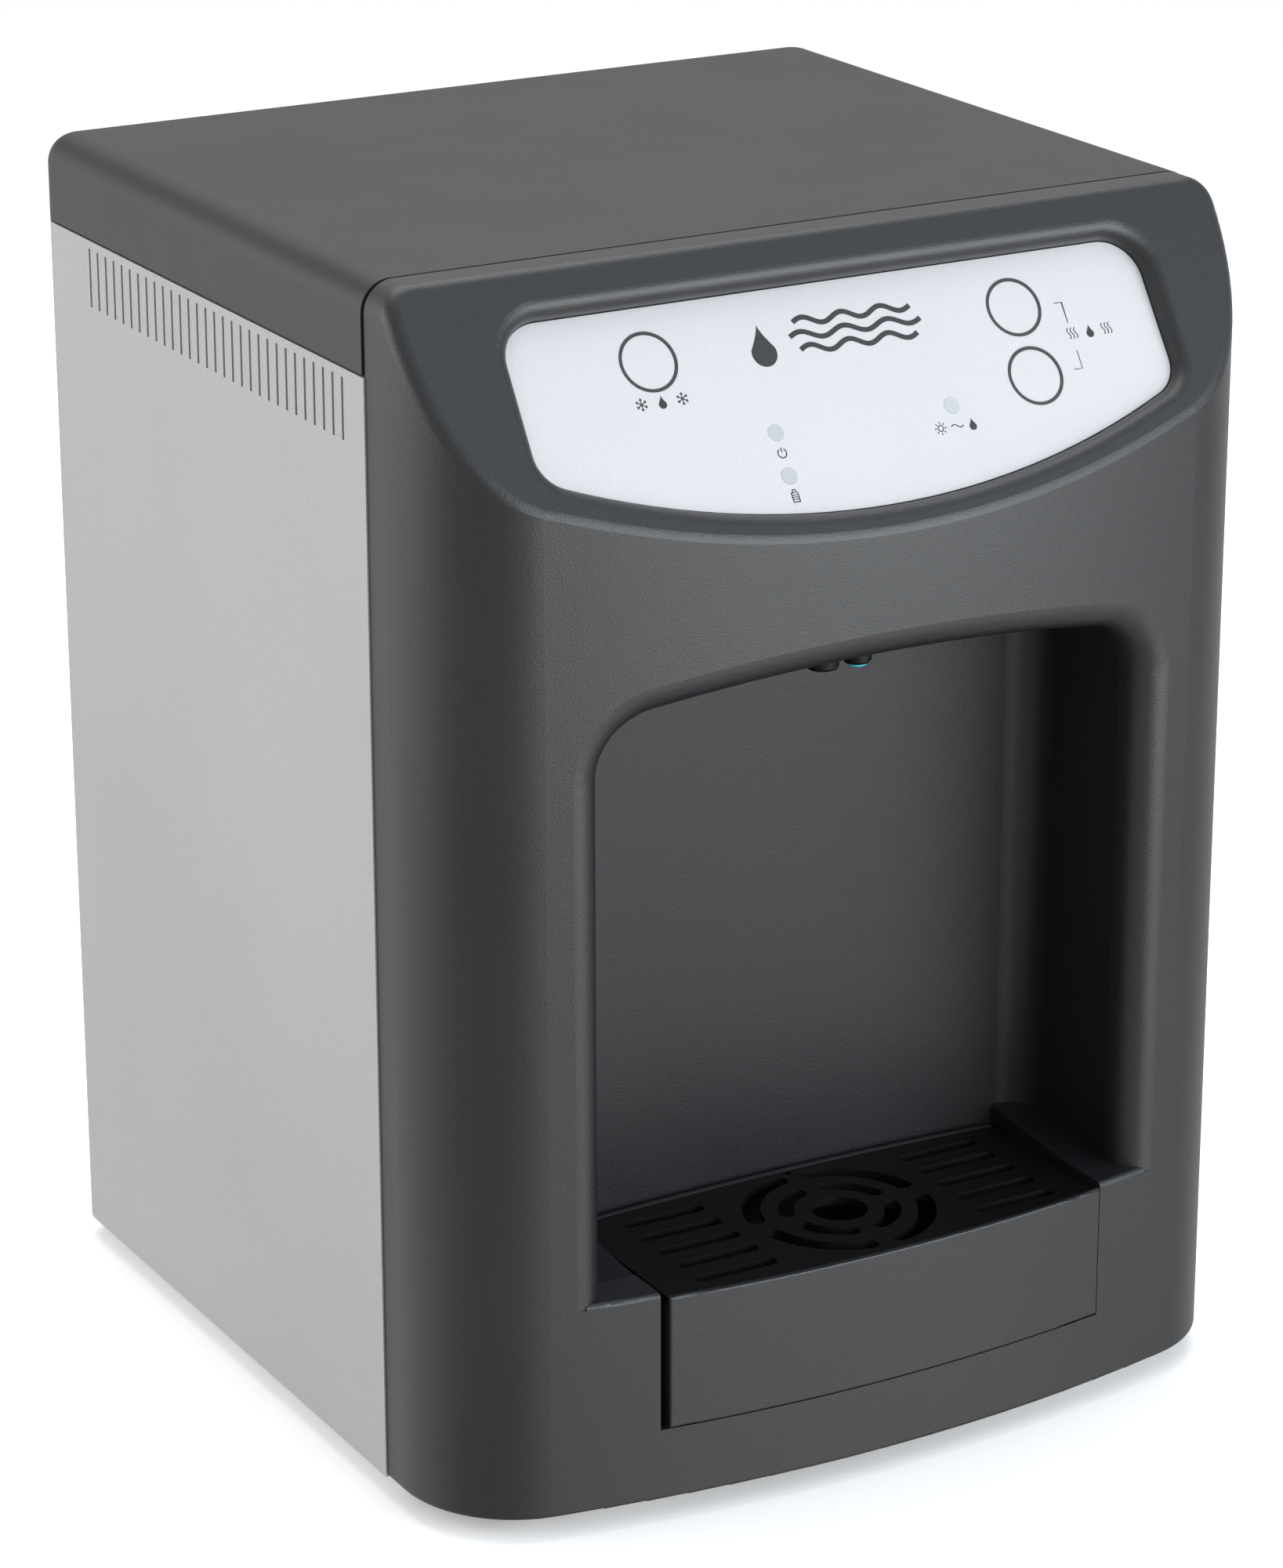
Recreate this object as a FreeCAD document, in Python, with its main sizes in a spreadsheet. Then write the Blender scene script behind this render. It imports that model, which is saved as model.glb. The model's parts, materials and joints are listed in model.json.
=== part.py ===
import FreeCAD, Part
import math
import os
import re

import Sketcher

# Countertop water dispenser, in millimetres.
# +X is to the right seen from the front, -Y is the front and +Z is up. The origin is at the
# middle of the overall box in plan, on the surface that the rubber feet stand on.
# The control panel leans back. Its parts are drawn in the panel's own frame: X across the
# panel, Y up the panel and Z out of its face, with the overlay's face at Z = 0.

V = FreeCAD.Vector

DIMENSIONS = (
    # overall box
    ("body_width", 305.0, "overall width"),
    ("body_depth", 310.0, "overall depth, from the tray's front to the rear skirt"),
    ("body_height", 408.0, "overall height, feet included"),
    ("foot_height", 8.0, "clearance under the cabinet"),
    ("seam_y", -90.0, "joint between the front shell and the cabinet"),
    ("lid_skirt", 29.0, "height of the top cover's skirt"),
    ("seam_gap", 0.4, "visible gap at the joints of the casing"),
    ("lid_gap", 1.2, "gap between the front shell and the top cover's front"),
    ("sheet", 1.0, "thickness of the cabinet's steel sheet"),
    ("wall", 3.0, "thickness of the moulded walls"),
    ("lid_edge", 10.0, "rounding of the top edges"),
    ("back_corner", 12.0, "bend radius of the rear corners"),
    # cabinet sheets
    ("rear_flange", 24.0, "width of the side panels' rear flanges"),
    ("rear_recess", 8.0, "depth of the recessed rear panel"),
    ("screw_tab", 14.0, "width of the tabs that the rear panel is screwed to"),
    ("vent_count", 30.0, "vent slots in each side panel"),
    ("vent_pitch", 6.5, "spacing of the vent slots"),
    ("vent_width", 1.4, "width of a vent slot"),
    ("vent_height", 20.0, "height of a vent slot"),
    ("vent_first_y", -75.3, "centre of the front vent slot"),
    ("vent_low", 355.4, "lower end of the vent slots"),
    ("louvre_height", 4.0, "height of a louvre slot in the rear panel"),
    ("louvre_pitch", 13.0, "spacing of the louvre slots"),
    # front shell
    ("shell_half_width", 152.0, "half width of the front shell"),
    ("shell_apex", -154.8, "foremost point of the bowed face"),
    ("front_radius", 574.0, "radius of the bowed face"),
    ("front_corner", 41.0, "radius of the shell's vertical corners"),
    ("ridge_radius", 5.0, "rounding of the visor's edge"),
    ("panel_tilt", 34.7, "lean of the control panel from upright, degrees"),
    ("panel_y", -134.05, "origin of the panel frame"),
    ("panel_z", 348.0, "origin of the panel frame"),
    ("visor_rise", 4.8, "height of the visor's face over the overlay, at the panel's origin"),
    ("visor_tilt", 33.0, "lean of the visor's face from upright, degrees"),
    ("panel_floor", 3.75, "depth of the back of the recess floor"),
    ("bezel_radius", 5.1, "rounding round the overlay's recess"),
    # control overlay
    ("overlay_half_width", 116.9, "half width of the overlay's recess"),
    ("overlay_shift", 1.3, "distance of the recess's middle from the shell's middle"),
    ("overlay_top", 53.6, "top edge of the recess"),
    ("overlay_low", -21.7, "lowest point of the recess"),
    ("overlay_arc", 287.0, "radius of the recess's lower edge"),
    ("overlay_top_corner", 14.0, "upper corner radius"),
    ("overlay_low_corner", 12.0, "lower corner radius"),
    ("overlay_sheet", 1.2, "thickness of the overlay"),
    ("overlay_gap", 0.25, "gap round the overlay"),
    ("button_x", 67.0, "distance of the buttons from the middle"),
    ("button_high", 35.7, "height of the upper buttons on the panel"),
    ("button_low", 12.2, "height of the lower button on the panel"),
    ("button_radius", 8.85, "radius of a button cap"),
    ("ring_inner", 8.95, "inner radius of a button ring"),
    ("ring_outer", 9.97, "outer radius of a button ring"),
    ("lens_radius", 2.75, "radius of an indicator lens"),
    ("board_depth", 14.0, "depth of the control board behind the overlay"),
    # dispensing alcove
    ("opening_half_width", 99.5, "half width of the alcove's opening"),
    ("opening_low", 81.6, "height of the alcove's sill"),
    ("opening_high", 282.6, "crown of the alcove's arch"),
    ("arch_radius", 500.0, "radius of the arch"),
    ("arch_corner", 21.0, "radius of the arch's shoulders"),
    ("jamb_radius", 9.5, "rounding of the opening's outer edge"),
    ("jamb_wall", 7.0, "thickness of the return round the opening"),
    ("sill_radius", 1.8, "rounding of the sill"),
    ("notch_half_width", 85.0, "half width of the tray's notch"),
    ("notch_shift", 2.0, "distance of the notch's middle from the shell's middle"),
    ("notch_low", 33.2, "bottom of the tray's notch"),
    ("jamb_depth_y", -132.0, "back end of the shell's return round the opening"),
    ("alcove_back_y", -79.0, "middle of the alcove's back wall"),
    ("alcove_back_radius", 1100.0, "plan radius of the back wall"),
    ("alcove_corner", 12.0, "plan radius between the back and the side walls"),
    ("liner_wall", 2.5, "distance of the liner's outside from the opening's outline"),
    ("liner_step", 0.4, "distance of the liner's inside from the opening's outline"),
    ("ledge_rise", 4.6, "rise of the side ledges towards the back"),
    ("ledge_radius", 1.0, "rounding of the ledges beside the tray"),
    # drip tray
    ("tray_half_width", 83.35, "half width of the drip tray"),
    ("tray_shift", 3.55, "middle of the tray, which has its play on the left"),
    ("tray_low", 33.3, "underside of the tray"),
    ("tray_high", 79.7, "top of the tray's rim"),
    ("tray_back", 1098.0, "plan radius of the tray's back edge"),
    ("tray_wall", 2.2, "thickness of the tray's walls"),
    ("tray_front_wall", 3.5, "thickness of the tray's front"),
    ("tray_front_lip", 1.7, "thickness of the tray's front beside the grille"),
    ("tray_back_lip", 1.4, "thickness of the tray's back beside the grille"),
    ("grille_low", 76.4, "underside of the drip grille"),
    ("grille_high", 79.2, "top of the drip grille"),
    ("grille_gap", 0.25, "gap round the drip grille"),
    ("drain_y", -117.3, "centre of the grille's hole pattern"),
    ("grille_slot_pitch", 11.8, "spacing of the straight slots"),
    # nozzles
    ("nozzle_x", 6.5, "distance of the nozzles from the middle"),
    ("nozzle_y", -119.0, "line of the nozzles"),
    ("nozzle_tip", 270.4, "height of the nozzles' tips"),
    # rear services
    ("service_z", 70.0, "height of the power inlet and the rocker switches"),
    ("inlet_x", -92.0, "middle of the power inlet"),
    ("hot_rocker_x", -54.0, "middle of the hot water switch"),
    ("cold_rocker_x", -30.0, "middle of the cold water switch"),
    ("rocker_axis_y", 145.9, "pivot line of the rockers"),
    ("rocker_tilt", 12.0, "lean of a rocker at rest, degrees"),
    ("pipe_z", 32.0, "height of the water inlet and the drain"),
    ("water_inlet_x", -100.0, "middle of the water inlet"),
    ("drain_x", -65.0, "middle of the drain"),
    # inside
    ("compressor_x", 80.0, "middle of the compressor"),
    ("compressor_y", 92.0, "middle of the compressor"),
    ("hot_tank_x", 85.0, "middle of the hot tank"),
    ("hot_tank_y", -24.0, "middle of the hot tank"),
    ("cold_tank_x", 62.0, "middle of the cold tank"),
    ("cold_tank_y", 38.0, "middle of the cold tank"),
    ("shelf_z", 172.0, "underside of the inner frame's shelf"),
    ("divider_x", -20.0, "left face of the inner frame's divider"),
    ("filter_x", -113.0, "line of the filter cartridges"),
    ("filter_front_y", -33.0, "middle of the front cartridge"),
    ("filter_rear_y", 36.0, "middle of the rear cartridge"),
    ("filter_seat", 128.0, "top of the filter manifold"),
    ("lamp_x", -48.0, "middle of the ultraviolet housing"),
    ("lamp_y", 100.0, "middle of the ultraviolet housing"),
    ("tube_radius", 3.175, "outer radius of the water tubes"),
)

doc = FreeCAD.newDocument("WaterDispenser")
sheet = doc.addObject("Spreadsheet::Sheet", "Dims")
for row, (alias, value, meaning) in enumerate(DIMENSIONS, start=1):
    sheet.set(f"A{row}", meaning)
    sheet.set(f"B{row}", str(value))
    sheet.setAlias(f"B{row}", alias)
doc.recompute()
ALIASES = {alias for alias, value, meaning in DIMENSIONS}
WORD = re.compile(r"[a-z][a-z0-9_]*")
SUB_PARTS = []


def cell(alias):
    """The number in the sheet's cell with this alias."""
    return float(sheet.get(alias))


def qualified(expression):
    """An expression with each alias pointed at the sheet."""
    def point(match):
        word = match.group()
        return "Dims." + word if word in ALIASES else word
    return WORD.sub(point, str(expression))


def bind(thing, **expressions):
    for name, expression in expressions.items():
        thing.setExpression(name, qualified(expression))


def place(thing, x=0, y=0, z=0, axis=None, angle=0):
    """Bind a thing's place, and its turn about an axis in degrees."""
    if axis is not None:
        thing.Placement = FreeCAD.Placement(V(), FreeCAD.Rotation(axis, 1.0))
        thing.setExpression("Placement.Rotation.Angle", qualified(angle))
    for letter, expression in zip("xyz", (x, y, z)):
        thing.setExpression("Placement.Base." + letter, qualified(expression))
    return thing


def on_panel(thing):
    """Set a thing drawn in the panel's frame onto the control panel."""
    return place(thing, 0, "panel_y", "panel_z", V(1, 0, 0), "90 - panel_tilt")


def box(name, x, y, z):
    """A box between the low and high expressions of each axis."""
    thing = doc.addObject("Part::Box", name)
    bind(thing, Length=f"({x[1]}) - ({x[0]})", Width=f"({y[1]}) - ({y[0]})",
         Height=f"({z[1]}) - ({z[0]})")
    return place(thing, x[0], y[0], z[0])


def cylinder(name, radius, along, reach, centre):
    """A cylinder along x, y or z between reach's two values, centred on the other two axes."""
    thing = doc.addObject("Part::Cylinder", name)
    bind(thing, Radius=radius, Height=f"({reach[1]}) - ({reach[0]})")
    if along == "x":
        return place(thing, reach[0], centre[0], centre[1], V(0, 1, 0), 90)
    if along == "y":
        return place(thing, centre[0], reach[0], centre[1], V(-1, 0, 0), 90)
    return place(thing, centre[0], centre[1], reach[0])


def joined(kind, name, things):
    thing = doc.addObject(kind, name)
    if kind == "Part::Compound":
        thing.Links = list(things)
    else:
        thing.Shapes = list(things)
    return thing


def fuse(name, *things):
    return joined("Part::MultiFuse", name, things)


def common(name, *things):
    return joined("Part::MultiCommon", name, things)


def group(name, *things):
    """Separate solids kept in one sub-part."""
    return joined("Part::Compound", name, things)


def cut(name, base, *tools):
    thing = doc.addObject("Part::Cut", name)
    thing.Base = base
    thing.Tool = tools[0] if len(tools) == 1 else fuse(name + "_tools", *tools)
    return thing


def fillet(name, base, *choices):
    """Round the edges that each (radius, test) pair picks."""
    doc.recompute()
    thing = doc.addObject("Part::Fillet", name)
    thing.Base = base
    edges = []
    for index, edge in enumerate(base.Shape.Edges, start=1):
        for radius, test in choices:
            if test(edge):
                edges.append((index, radius, radius))
                break
    thing.Edges = edges
    return thing


def samples(edge):
    first, last = edge.FirstParameter, edge.LastParameter
    return [edge.valueAt(first + (last - first) * step / 4.0) for step in range(5)]


def upright(edge):
    points = samples(edge)
    return max(abs(p.x - points[0].x) + abs(p.y - points[0].y) for p in points) < 1e-4


def level(edge, height):
    return all(abs(p.z - height) < 1e-4 for p in samples(edge))


def body(name):
    return doc.addObject("PartDesign::Body", name)


def outline(owner, name, plane, points, offset=0):
    """A closed sketch of straight lines whose corners are pairs of expressions."""
    sketch = owner.newObject("Sketcher::SketchObject", name)
    origin = owner.Origin.OriginFeatures
    sketch.AttachmentSupport = [(next(item for item in origin if item.Role == plane), "")]
    sketch.MapMode = "FlatFace"
    sketch.setExpression("AttachmentOffset.Base.z", qualified(offset))
    count = len(points)
    for index in range(count):
        turn = 2 * math.pi * index / count
        after = 2 * math.pi * (index + 1) / count
        start = V(100 * math.cos(turn), 100 * math.sin(turn), 0)
        end = V(100 * math.cos(after), 100 * math.sin(after), 0)
        sketch.addGeometry(Part.LineSegment(start, end), False)
    for index in range(count):
        sketch.addConstraint(Sketcher.Constraint("Coincident", index, 2, (index + 1) % count, 1))
    for index, corner in enumerate(points):
        for kind, axis, expression in (("DistanceX", -2, corner[0]), ("DistanceY", -1, corner[1])):
            if expression == 0:
                sketch.addConstraint(Sketcher.Constraint("PointOnObject", index, 1, axis))
                continue
            number = sketch.addConstraint(Sketcher.Constraint(kind, -1, 1, index, 1, 1.0))
            sketch.setExpression(f"Constraints[{number}]", qualified(expression))
    return sketch


def turned(name, points):
    """A body of revolution about Z whose profile is given as (radius, height) pairs."""
    owner = body(name)
    sketch = outline(owner, name + "_profile", "XZ_Plane", points)
    feature = owner.newObject("PartDesign::Revolution", name + "_revolution")
    feature.Profile = sketch
    feature.ReferenceAxis = (sketch, ["V_Axis"])
    feature.Angle = 360
    return owner


def extruded(name, plane, points, low, high):
    """A body of one straight-sided outline, padded between two values along the plane's axis."""
    owner = body(name)
    offset = f"-({high})" if plane == "XZ_Plane" else low
    sketch = outline(owner, name + "_outline", plane, points, offset)
    pad = owner.newObject("PartDesign::Pad", name + "_pad")
    pad.Profile = sketch
    bind(pad, Length=f"({high}) - ({low})")
    return owner


def rounded_path(points, bend):
    """A wire through the points, with an arc of the given radius at each inner point."""
    edges = []
    start = points[0]
    for before, corner, after in zip(points, points[1:], points[2:]):
        arriving = (corner - before).normalize()
        leaving = (after - corner).normalize()
        half_turn = arriving.getAngle(leaving) / 2
        back_off = bend * math.tan(half_turn)
        arc_start = corner - arriving * back_off
        arc_end = corner + leaving * back_off
        inward = (leaving - arriving).normalize()
        middle = corner + inward * (bend / math.cos(half_turn) - bend)
        edges.append(Part.LineSegment(start, arc_start).toShape())
        edges.append(Part.Arc(arc_start, middle, arc_end).toShape())
        start = arc_end
    edges.append(Part.LineSegment(start, points[-1]).toShape())
    return Part.Wire(edges)


def swept(points, bend, radius):
    """A round rod along a rounded path."""
    path = rounded_path(points, bend)
    circle = Part.makeCircle(radius, points[0], points[1] - points[0])
    return path.makePipeShell([Part.Wire([circle])], True, False)


def hose(points, bend, radius, bore):
    return swept(points, bend, radius).cut(swept(points, bend, bore))


def feature(name, shape):
    thing = doc.addObject("Part::Feature", name)
    thing.Shape = shape
    thing.Placement = FreeCAD.Placement()
    return thing


def sub_part(label, thing):
    thing.Label = label
    SUB_PARTS.append(thing)
    return thing


HALF = "body_width / 2"
BACK = "body_depth / 2"
SKIRT = "body_height - lid_skirt"
CASE_TOP = "body_height - lid_skirt - 2 * seam_gap"
REAR_FACE = "body_depth / 2 - rear_recess + sheet"
FRONT_CENTRE = "shell_apex + front_radius"
BACK_CENTRE = "alcove_back_y - alcove_back_radius"
PAN_TOP = "foot_height + 1.5"
NOTCH_SIDES = ("notch_shift - notch_half_width", "notch_shift + notch_half_width")
NOTCH_WALLS = ("notch_shift - notch_half_width - wall", "notch_shift + notch_half_width + wall")


# --- Casing -----------------------------------------------------------------------------------

def top_cover():
    """Moulded lid with a skirt, rounded along its sides and back."""
    front = "seam_y + lid_gap"
    block = box("lid_block", (f"-({HALF})", HALF), (front, BACK), (SKIRT, "body_height"))
    corners = fillet("lid_corners", block, (
        cell("back_corner"),
        lambda edge: upright(edge) and samples(edge)[0].y > 0))
    front_y = cell("seam_y") + cell("lid_gap")
    outside = fillet("lid_outside", corners, (
        cell("lid_edge"),
        lambda edge: level(edge, cell("body_height"))
        and any(p.y > front_y + 1 for p in samples(edge))))
    hollow = box("lid_hollow", (f"-({HALF}) + wall", f"{HALF} - wall"),
                 (f"{front} + wall", f"{BACK} - wall"), (f"{SKIRT} - 1", "body_height - wall"))
    inner_corners = fillet("lid_inner_corners", hollow, (
        cell("back_corner") - cell("wall"),
        lambda edge: upright(edge) and samples(edge)[0].y > 0))
    inside = fillet("lid_inside", inner_corners, (
        cell("lid_edge") - cell("wall"),
        lambda edge: level(edge, cell("body_height") - cell("wall"))
        and any(p.y > front_y + cell("wall") + 1 for p in samples(edge))))
    skin = cut("lid_skin", outside, inside)
    ribs = [box(f"lid_rib_{side}", (x, f"{x} + 2"), ("seam_y + 10", f"{BACK} - 6"),
                (f"{SKIRT} + 12", "body_height - wall + 0.5"))
            for side, x in (("left", "-70"), ("right", "68"))]
    sub_part("top_cover", fuse("lid", skin, *ribs))


def side_panel(side, sign):
    """Folded sheet: side wall, rear and top flanges, and a recessed tab for the rear panel."""
    def span(outer, inner):
        ends = (f"{sign} * ({outer})", f"{sign} * ({inner})")
        return ends if sign < 0 else ends[::-1]

    name = "side_" + side
    inner_end = f"{HALF} - rear_flange"
    block = box(name + "_block", span(HALF, inner_end), ("seam_y + 0.1", BACK),
                ("foot_height", CASE_TOP))
    outer = fillet(name + "_outer", block, (
        cell("back_corner"),
        lambda edge: upright(edge) and samples(edge)[0].y > 0
        and abs(samples(edge)[0].x) > cell("body_width") / 2 - 1))
    room = box(name + "_room", span(f"{HALF} - sheet", f"{inner_end} - 1"),
               ("seam_y - 1", f"{BACK} - sheet"), ("foot_height - 1", f"{CASE_TOP} - sheet"))
    inner = fillet(name + "_inner", room, (
        cell("back_corner") - cell("sheet"),
        lambda edge: upright(edge) and samples(edge)[0].y > 0
        and abs(samples(edge)[0].x) > cell("body_width") / 2 - 2))
    vents = [box(f"{name}_vent_{index}", span(f"{HALF} + 1", f"{HALF} - 3"),
                 (f"vent_first_y + {index} * vent_pitch - vent_width / 2",
                  f"vent_first_y + {index} * vent_pitch + vent_width / 2"),
                 ("vent_low", "vent_low + vent_height"))
             for index in range(int(cell("vent_count")))]
    folded = cut(name + "_folded", outer, inner, *vents)
    tab_y = f"{BACK} - rear_recess - sheet"
    lip = box(name + "_lip", span(inner_end, f"{inner_end} - sheet"), (tab_y, BACK),
              ("foot_height + 2", f"{CASE_TOP} - 2"))
    tab = box(name + "_tab", span(f"{inner_end} - sheet", f"{inner_end} - screw_tab"),
              (tab_y, f"{tab_y} + sheet"), ("foot_height + 2", f"{CASE_TOP} - 2"))
    holes = [cylinder(f"{name}_hole_{index}", 1.7, "y", (f"{tab_y} - 1", f"{tab_y} + 3"),
                      (f"{sign} * ({inner_end} - 8)", height))
             for index, height in enumerate((30, 190, 350))]
    sub_part("side_panel_" + side, cut(name, fuse(name + "_bent", folded, lip, tab), *holes))


def rear_panel():
    """Flat sheet with louvre slots, set back between the side panels' flanges."""
    half = f"{HALF} - rear_flange - sheet - 0.3"
    face = REAR_FACE
    back = f"{face} - sheet"
    plate = box("rear_plate", (f"-({half})", half), (back, face),
                ("foot_height + 2", f"{CASE_TOP} - 2"))
    through = (f"{back} - 1", f"{face} + 1")
    louvres = []
    for row in range(12):
        low = f"210 + {row} * louvre_pitch"
        for column, (left, right) in enumerate((("-105", "-6"), ("6", "105"))):
            louvres.append(box(f"louvre_{row}_{column}", (left, right), through,
                               (low, f"{low} + louvre_height")))
    for column in range(9):
        left = f"{44 + 9 * column}"
        louvres.append(box(f"low_louvre_{column}", (left, f"{left} + louvre_height"), through,
                           ("50", "150")))
    holes = [cylinder(f"rear_hole_{side}_{height}", 2.2, "y", through,
                      (f"{side} * ({HALF} - rear_flange - 8)", height))
             for side in (-1, 1) for height in (30, 190, 350)]
    holes.append(box("inlet_cutout", ("inlet_x - 14.5", "inlet_x + 14.5"), through,
                     ("service_z - 10.5", "service_z + 10.5")))
    holes += [cylinder(f"inlet_screw_hole_{side}", 1.7, "y", through,
                       (f"inlet_x + {side} * 20", "service_z")) for side in (-1, 1)]
    holes += [box(f"{name}_cutout", (f"{name}_x - 7.2", f"{name}_x + 7.2"), through,
                  ("service_z - 11.2", "service_z + 11.2"))
              for name in ("hot_rocker", "cold_rocker")]
    holes.append(cylinder("water_inlet_hole", 8.2, "y", through, ("water_inlet_x", "pipe_z")))
    holes.append(cylinder("drain_hole", 8.2, "y", through, ("drain_x", "pipe_z")))
    sub_part("rear_panel", cut("rear", plate, *louvres, *holes))


FOOT_PLACES = {
    "front_left": (-112, -116), "front_right": (112, -116),
    "rear_left": (-124, 102), "rear_right": (124, 102),
}


def base_pan():
    """Steel pan under the cabinet, with a tongue that reaches under the front shell."""
    half = f"{HALF} - sheet - 0.6"
    low, top = "foot_height", PAN_TOP
    parts = [
        box("pan_floor", (f"-({half})", half), ("seam_y + 2", f"{BACK} - rear_recess - 1.5"),
            (low, top)),
        box("pan_tongue", (-126, 126), (-134, "seam_y + 2"), (low, top)),
        box("pan_left", (f"-({half})", f"-({half}) + sheet"),
            ("seam_y + 2", f"{BACK} - rear_recess - 1.5"), (low, f"{top} + 14")),
        box("pan_right", (f"{half} - sheet", half),
            ("seam_y + 2", f"{BACK} - rear_recess - 1.5"), (low, f"{top} + 14")),
        box("pan_back", (-125, 125), (f"{BACK} - rear_recess - 2.5", f"{BACK} - rear_recess - 1.5"),
            (low, f"{top} + 8")),
    ]
    holes = [cylinder("pan_hole_" + name, 2.2, "z", (0, 20), place_xy)
             for name, place_xy in FOOT_PLACES.items()]
    holes += [cylinder(f"pan_bolt_{i}_{j}", 3.2, "z", (0, 20),
                       (f"compressor_x + {i} * 46", f"compressor_y + {j} * 34"))
              for i in (-1, 1) for j in (-1, 1)]
    sub_part("base_pan", cut("pan", fuse("pan_bent", *parts), *holes))


def feet():
    """Four rubber feet, each held by a screw from below and a nut on the pan."""
    screws, nuts = [], []
    for name, (x, y) in FOOT_PLACES.items():
        foot = turned("foot_" + name, [
            (2.2, 3), (5, 3), (5, 0.8), (5.6, 0), (11, 0), (12, 1), (13, "foot_height"),
            (2.2, "foot_height")])
        sub_part("foot_" + name, place(foot, x, y, 0))
        head = cylinder("foot_head_" + name, 4.3, "z", (0.8, 3), (x, y))
        shank = cylinder("foot_shank_" + name, 2, "z", (2.9, 15), (x, y))
        screws.append(fuse("foot_screw_" + name, head, shank))
        plate = cylinder("nut_plate_" + name, 4.2, "z", (PAN_TOP, f"{PAN_TOP} + 3.2"), (x, y))
        bore = cylinder("nut_bore_" + name, 2.05, "z", (8, 20), (x, y))
        nuts.append(cut("foot_nut_" + name, plate, bore))
    return screws + nuts


# --- Front shell and alcove -------------------------------------------------------------------

def bowed_block(name, inset, low, high, back):
    """The front shell's plan shape as a block, inset from the outside by a thickness."""
    sides = f"shell_half_width - {inset}"
    blank = box(name + "_blank", (f"-({sides})", sides), (-170, back), (low, high))
    bow = cylinder(name + "_bow", f"front_radius - {inset}", "z", (low, high), (0, FRONT_CENTRE))
    block = common(name + "_bowed", blank, bow)
    return fillet(name, block, (
        cell("front_corner") - inset,
        lambda edge: upright(edge) and samples(edge)[0].y < cell("seam_y") - 5))


def leaning_cutter(name, tilt, height):
    """Everything in front of a leaning plane at this height over the panel's origin."""
    slab = box(name + "_slab", (-200, 200), (-150, 150), (height, 200))
    return place(group(name, slab), 0, "panel_y", "panel_z", V(1, 0, 0), f"90 - {tilt}")


def on_visor(edge):
    """True for an edge that lies in the visor's face."""
    tilt = math.radians(cell("visor_tilt"))
    normal = V(0, -math.cos(tilt), math.sin(tilt))
    origin = V(0, cell("panel_y"), cell("panel_z"))
    return all(abs((p - origin).dot(normal) - cell("visor_rise")) < 1e-3 for p in samples(edge))


def opening_block(name, grow, low, y, closed=False):
    """The alcove's arched outline, grown by a thickness and run along Y.

    A closed outline has round corners at its foot as well as at its shoulders."""
    sides = f"opening_half_width + {grow}"
    blank = box(name + "_blank", (f"-({sides})", sides), y, (low, "opening_high + 20"))
    arch = cylinder(name + "_arch", f"arch_radius + {grow}", "y", y,
                    (0, "opening_high - arch_radius"))
    block = common(name + "_arched", blank, arch)

    def corner(edge):
        points = samples(edge)
        run = abs(points[-1].y - points[0].y)
        high_enough = closed or points[0].z > cell("opening_low") + 50
        return abs(edge.Length - run) < 1e-4 and high_enough

    return fillet(name, block, (cell("arch_corner") + grow, corner))


def overlay_block(name, inset, low, high):
    """The overlay's outline in the panel's frame, inset by a gap."""
    sides = (f"overlay_shift - overlay_half_width + {inset}",
             f"overlay_shift + overlay_half_width - {inset}")
    blank = box(name + "_blank", sides, (-40, f"overlay_top - {inset}"), (low, high))
    smile = cylinder(name + "_smile", f"overlay_arc - {inset}", "z", (low, high),
                     ("overlay_shift", "overlay_low + overlay_arc"))
    block = common(name + "_block", blank, smile)

    def upper(edge):
        return upright(edge) and samples(edge)[0].y > 30

    def lower(edge):
        return upright(edge) and abs(samples(edge)[0].x) > 50

    return fillet(name, block, (cell("overlay_top_corner") - inset, upper),
                  (cell("overlay_low_corner") - inset, lower))


BUTTONS = {
    "cold_water_button": ("-button_x", "button_high"),
    "hot_release_button": ("button_x", "button_high"),
    "hot_water_button": ("button_x", "button_low"),
}
LENSES = {"power": (-31.1, 7.1), "filter": (-31.1, -7.2), "lamp": (33.3, 6.9)}
BOARD_POSTS = ((-92, 42), (-92, 8), (92, 42), (92, -2))


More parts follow.
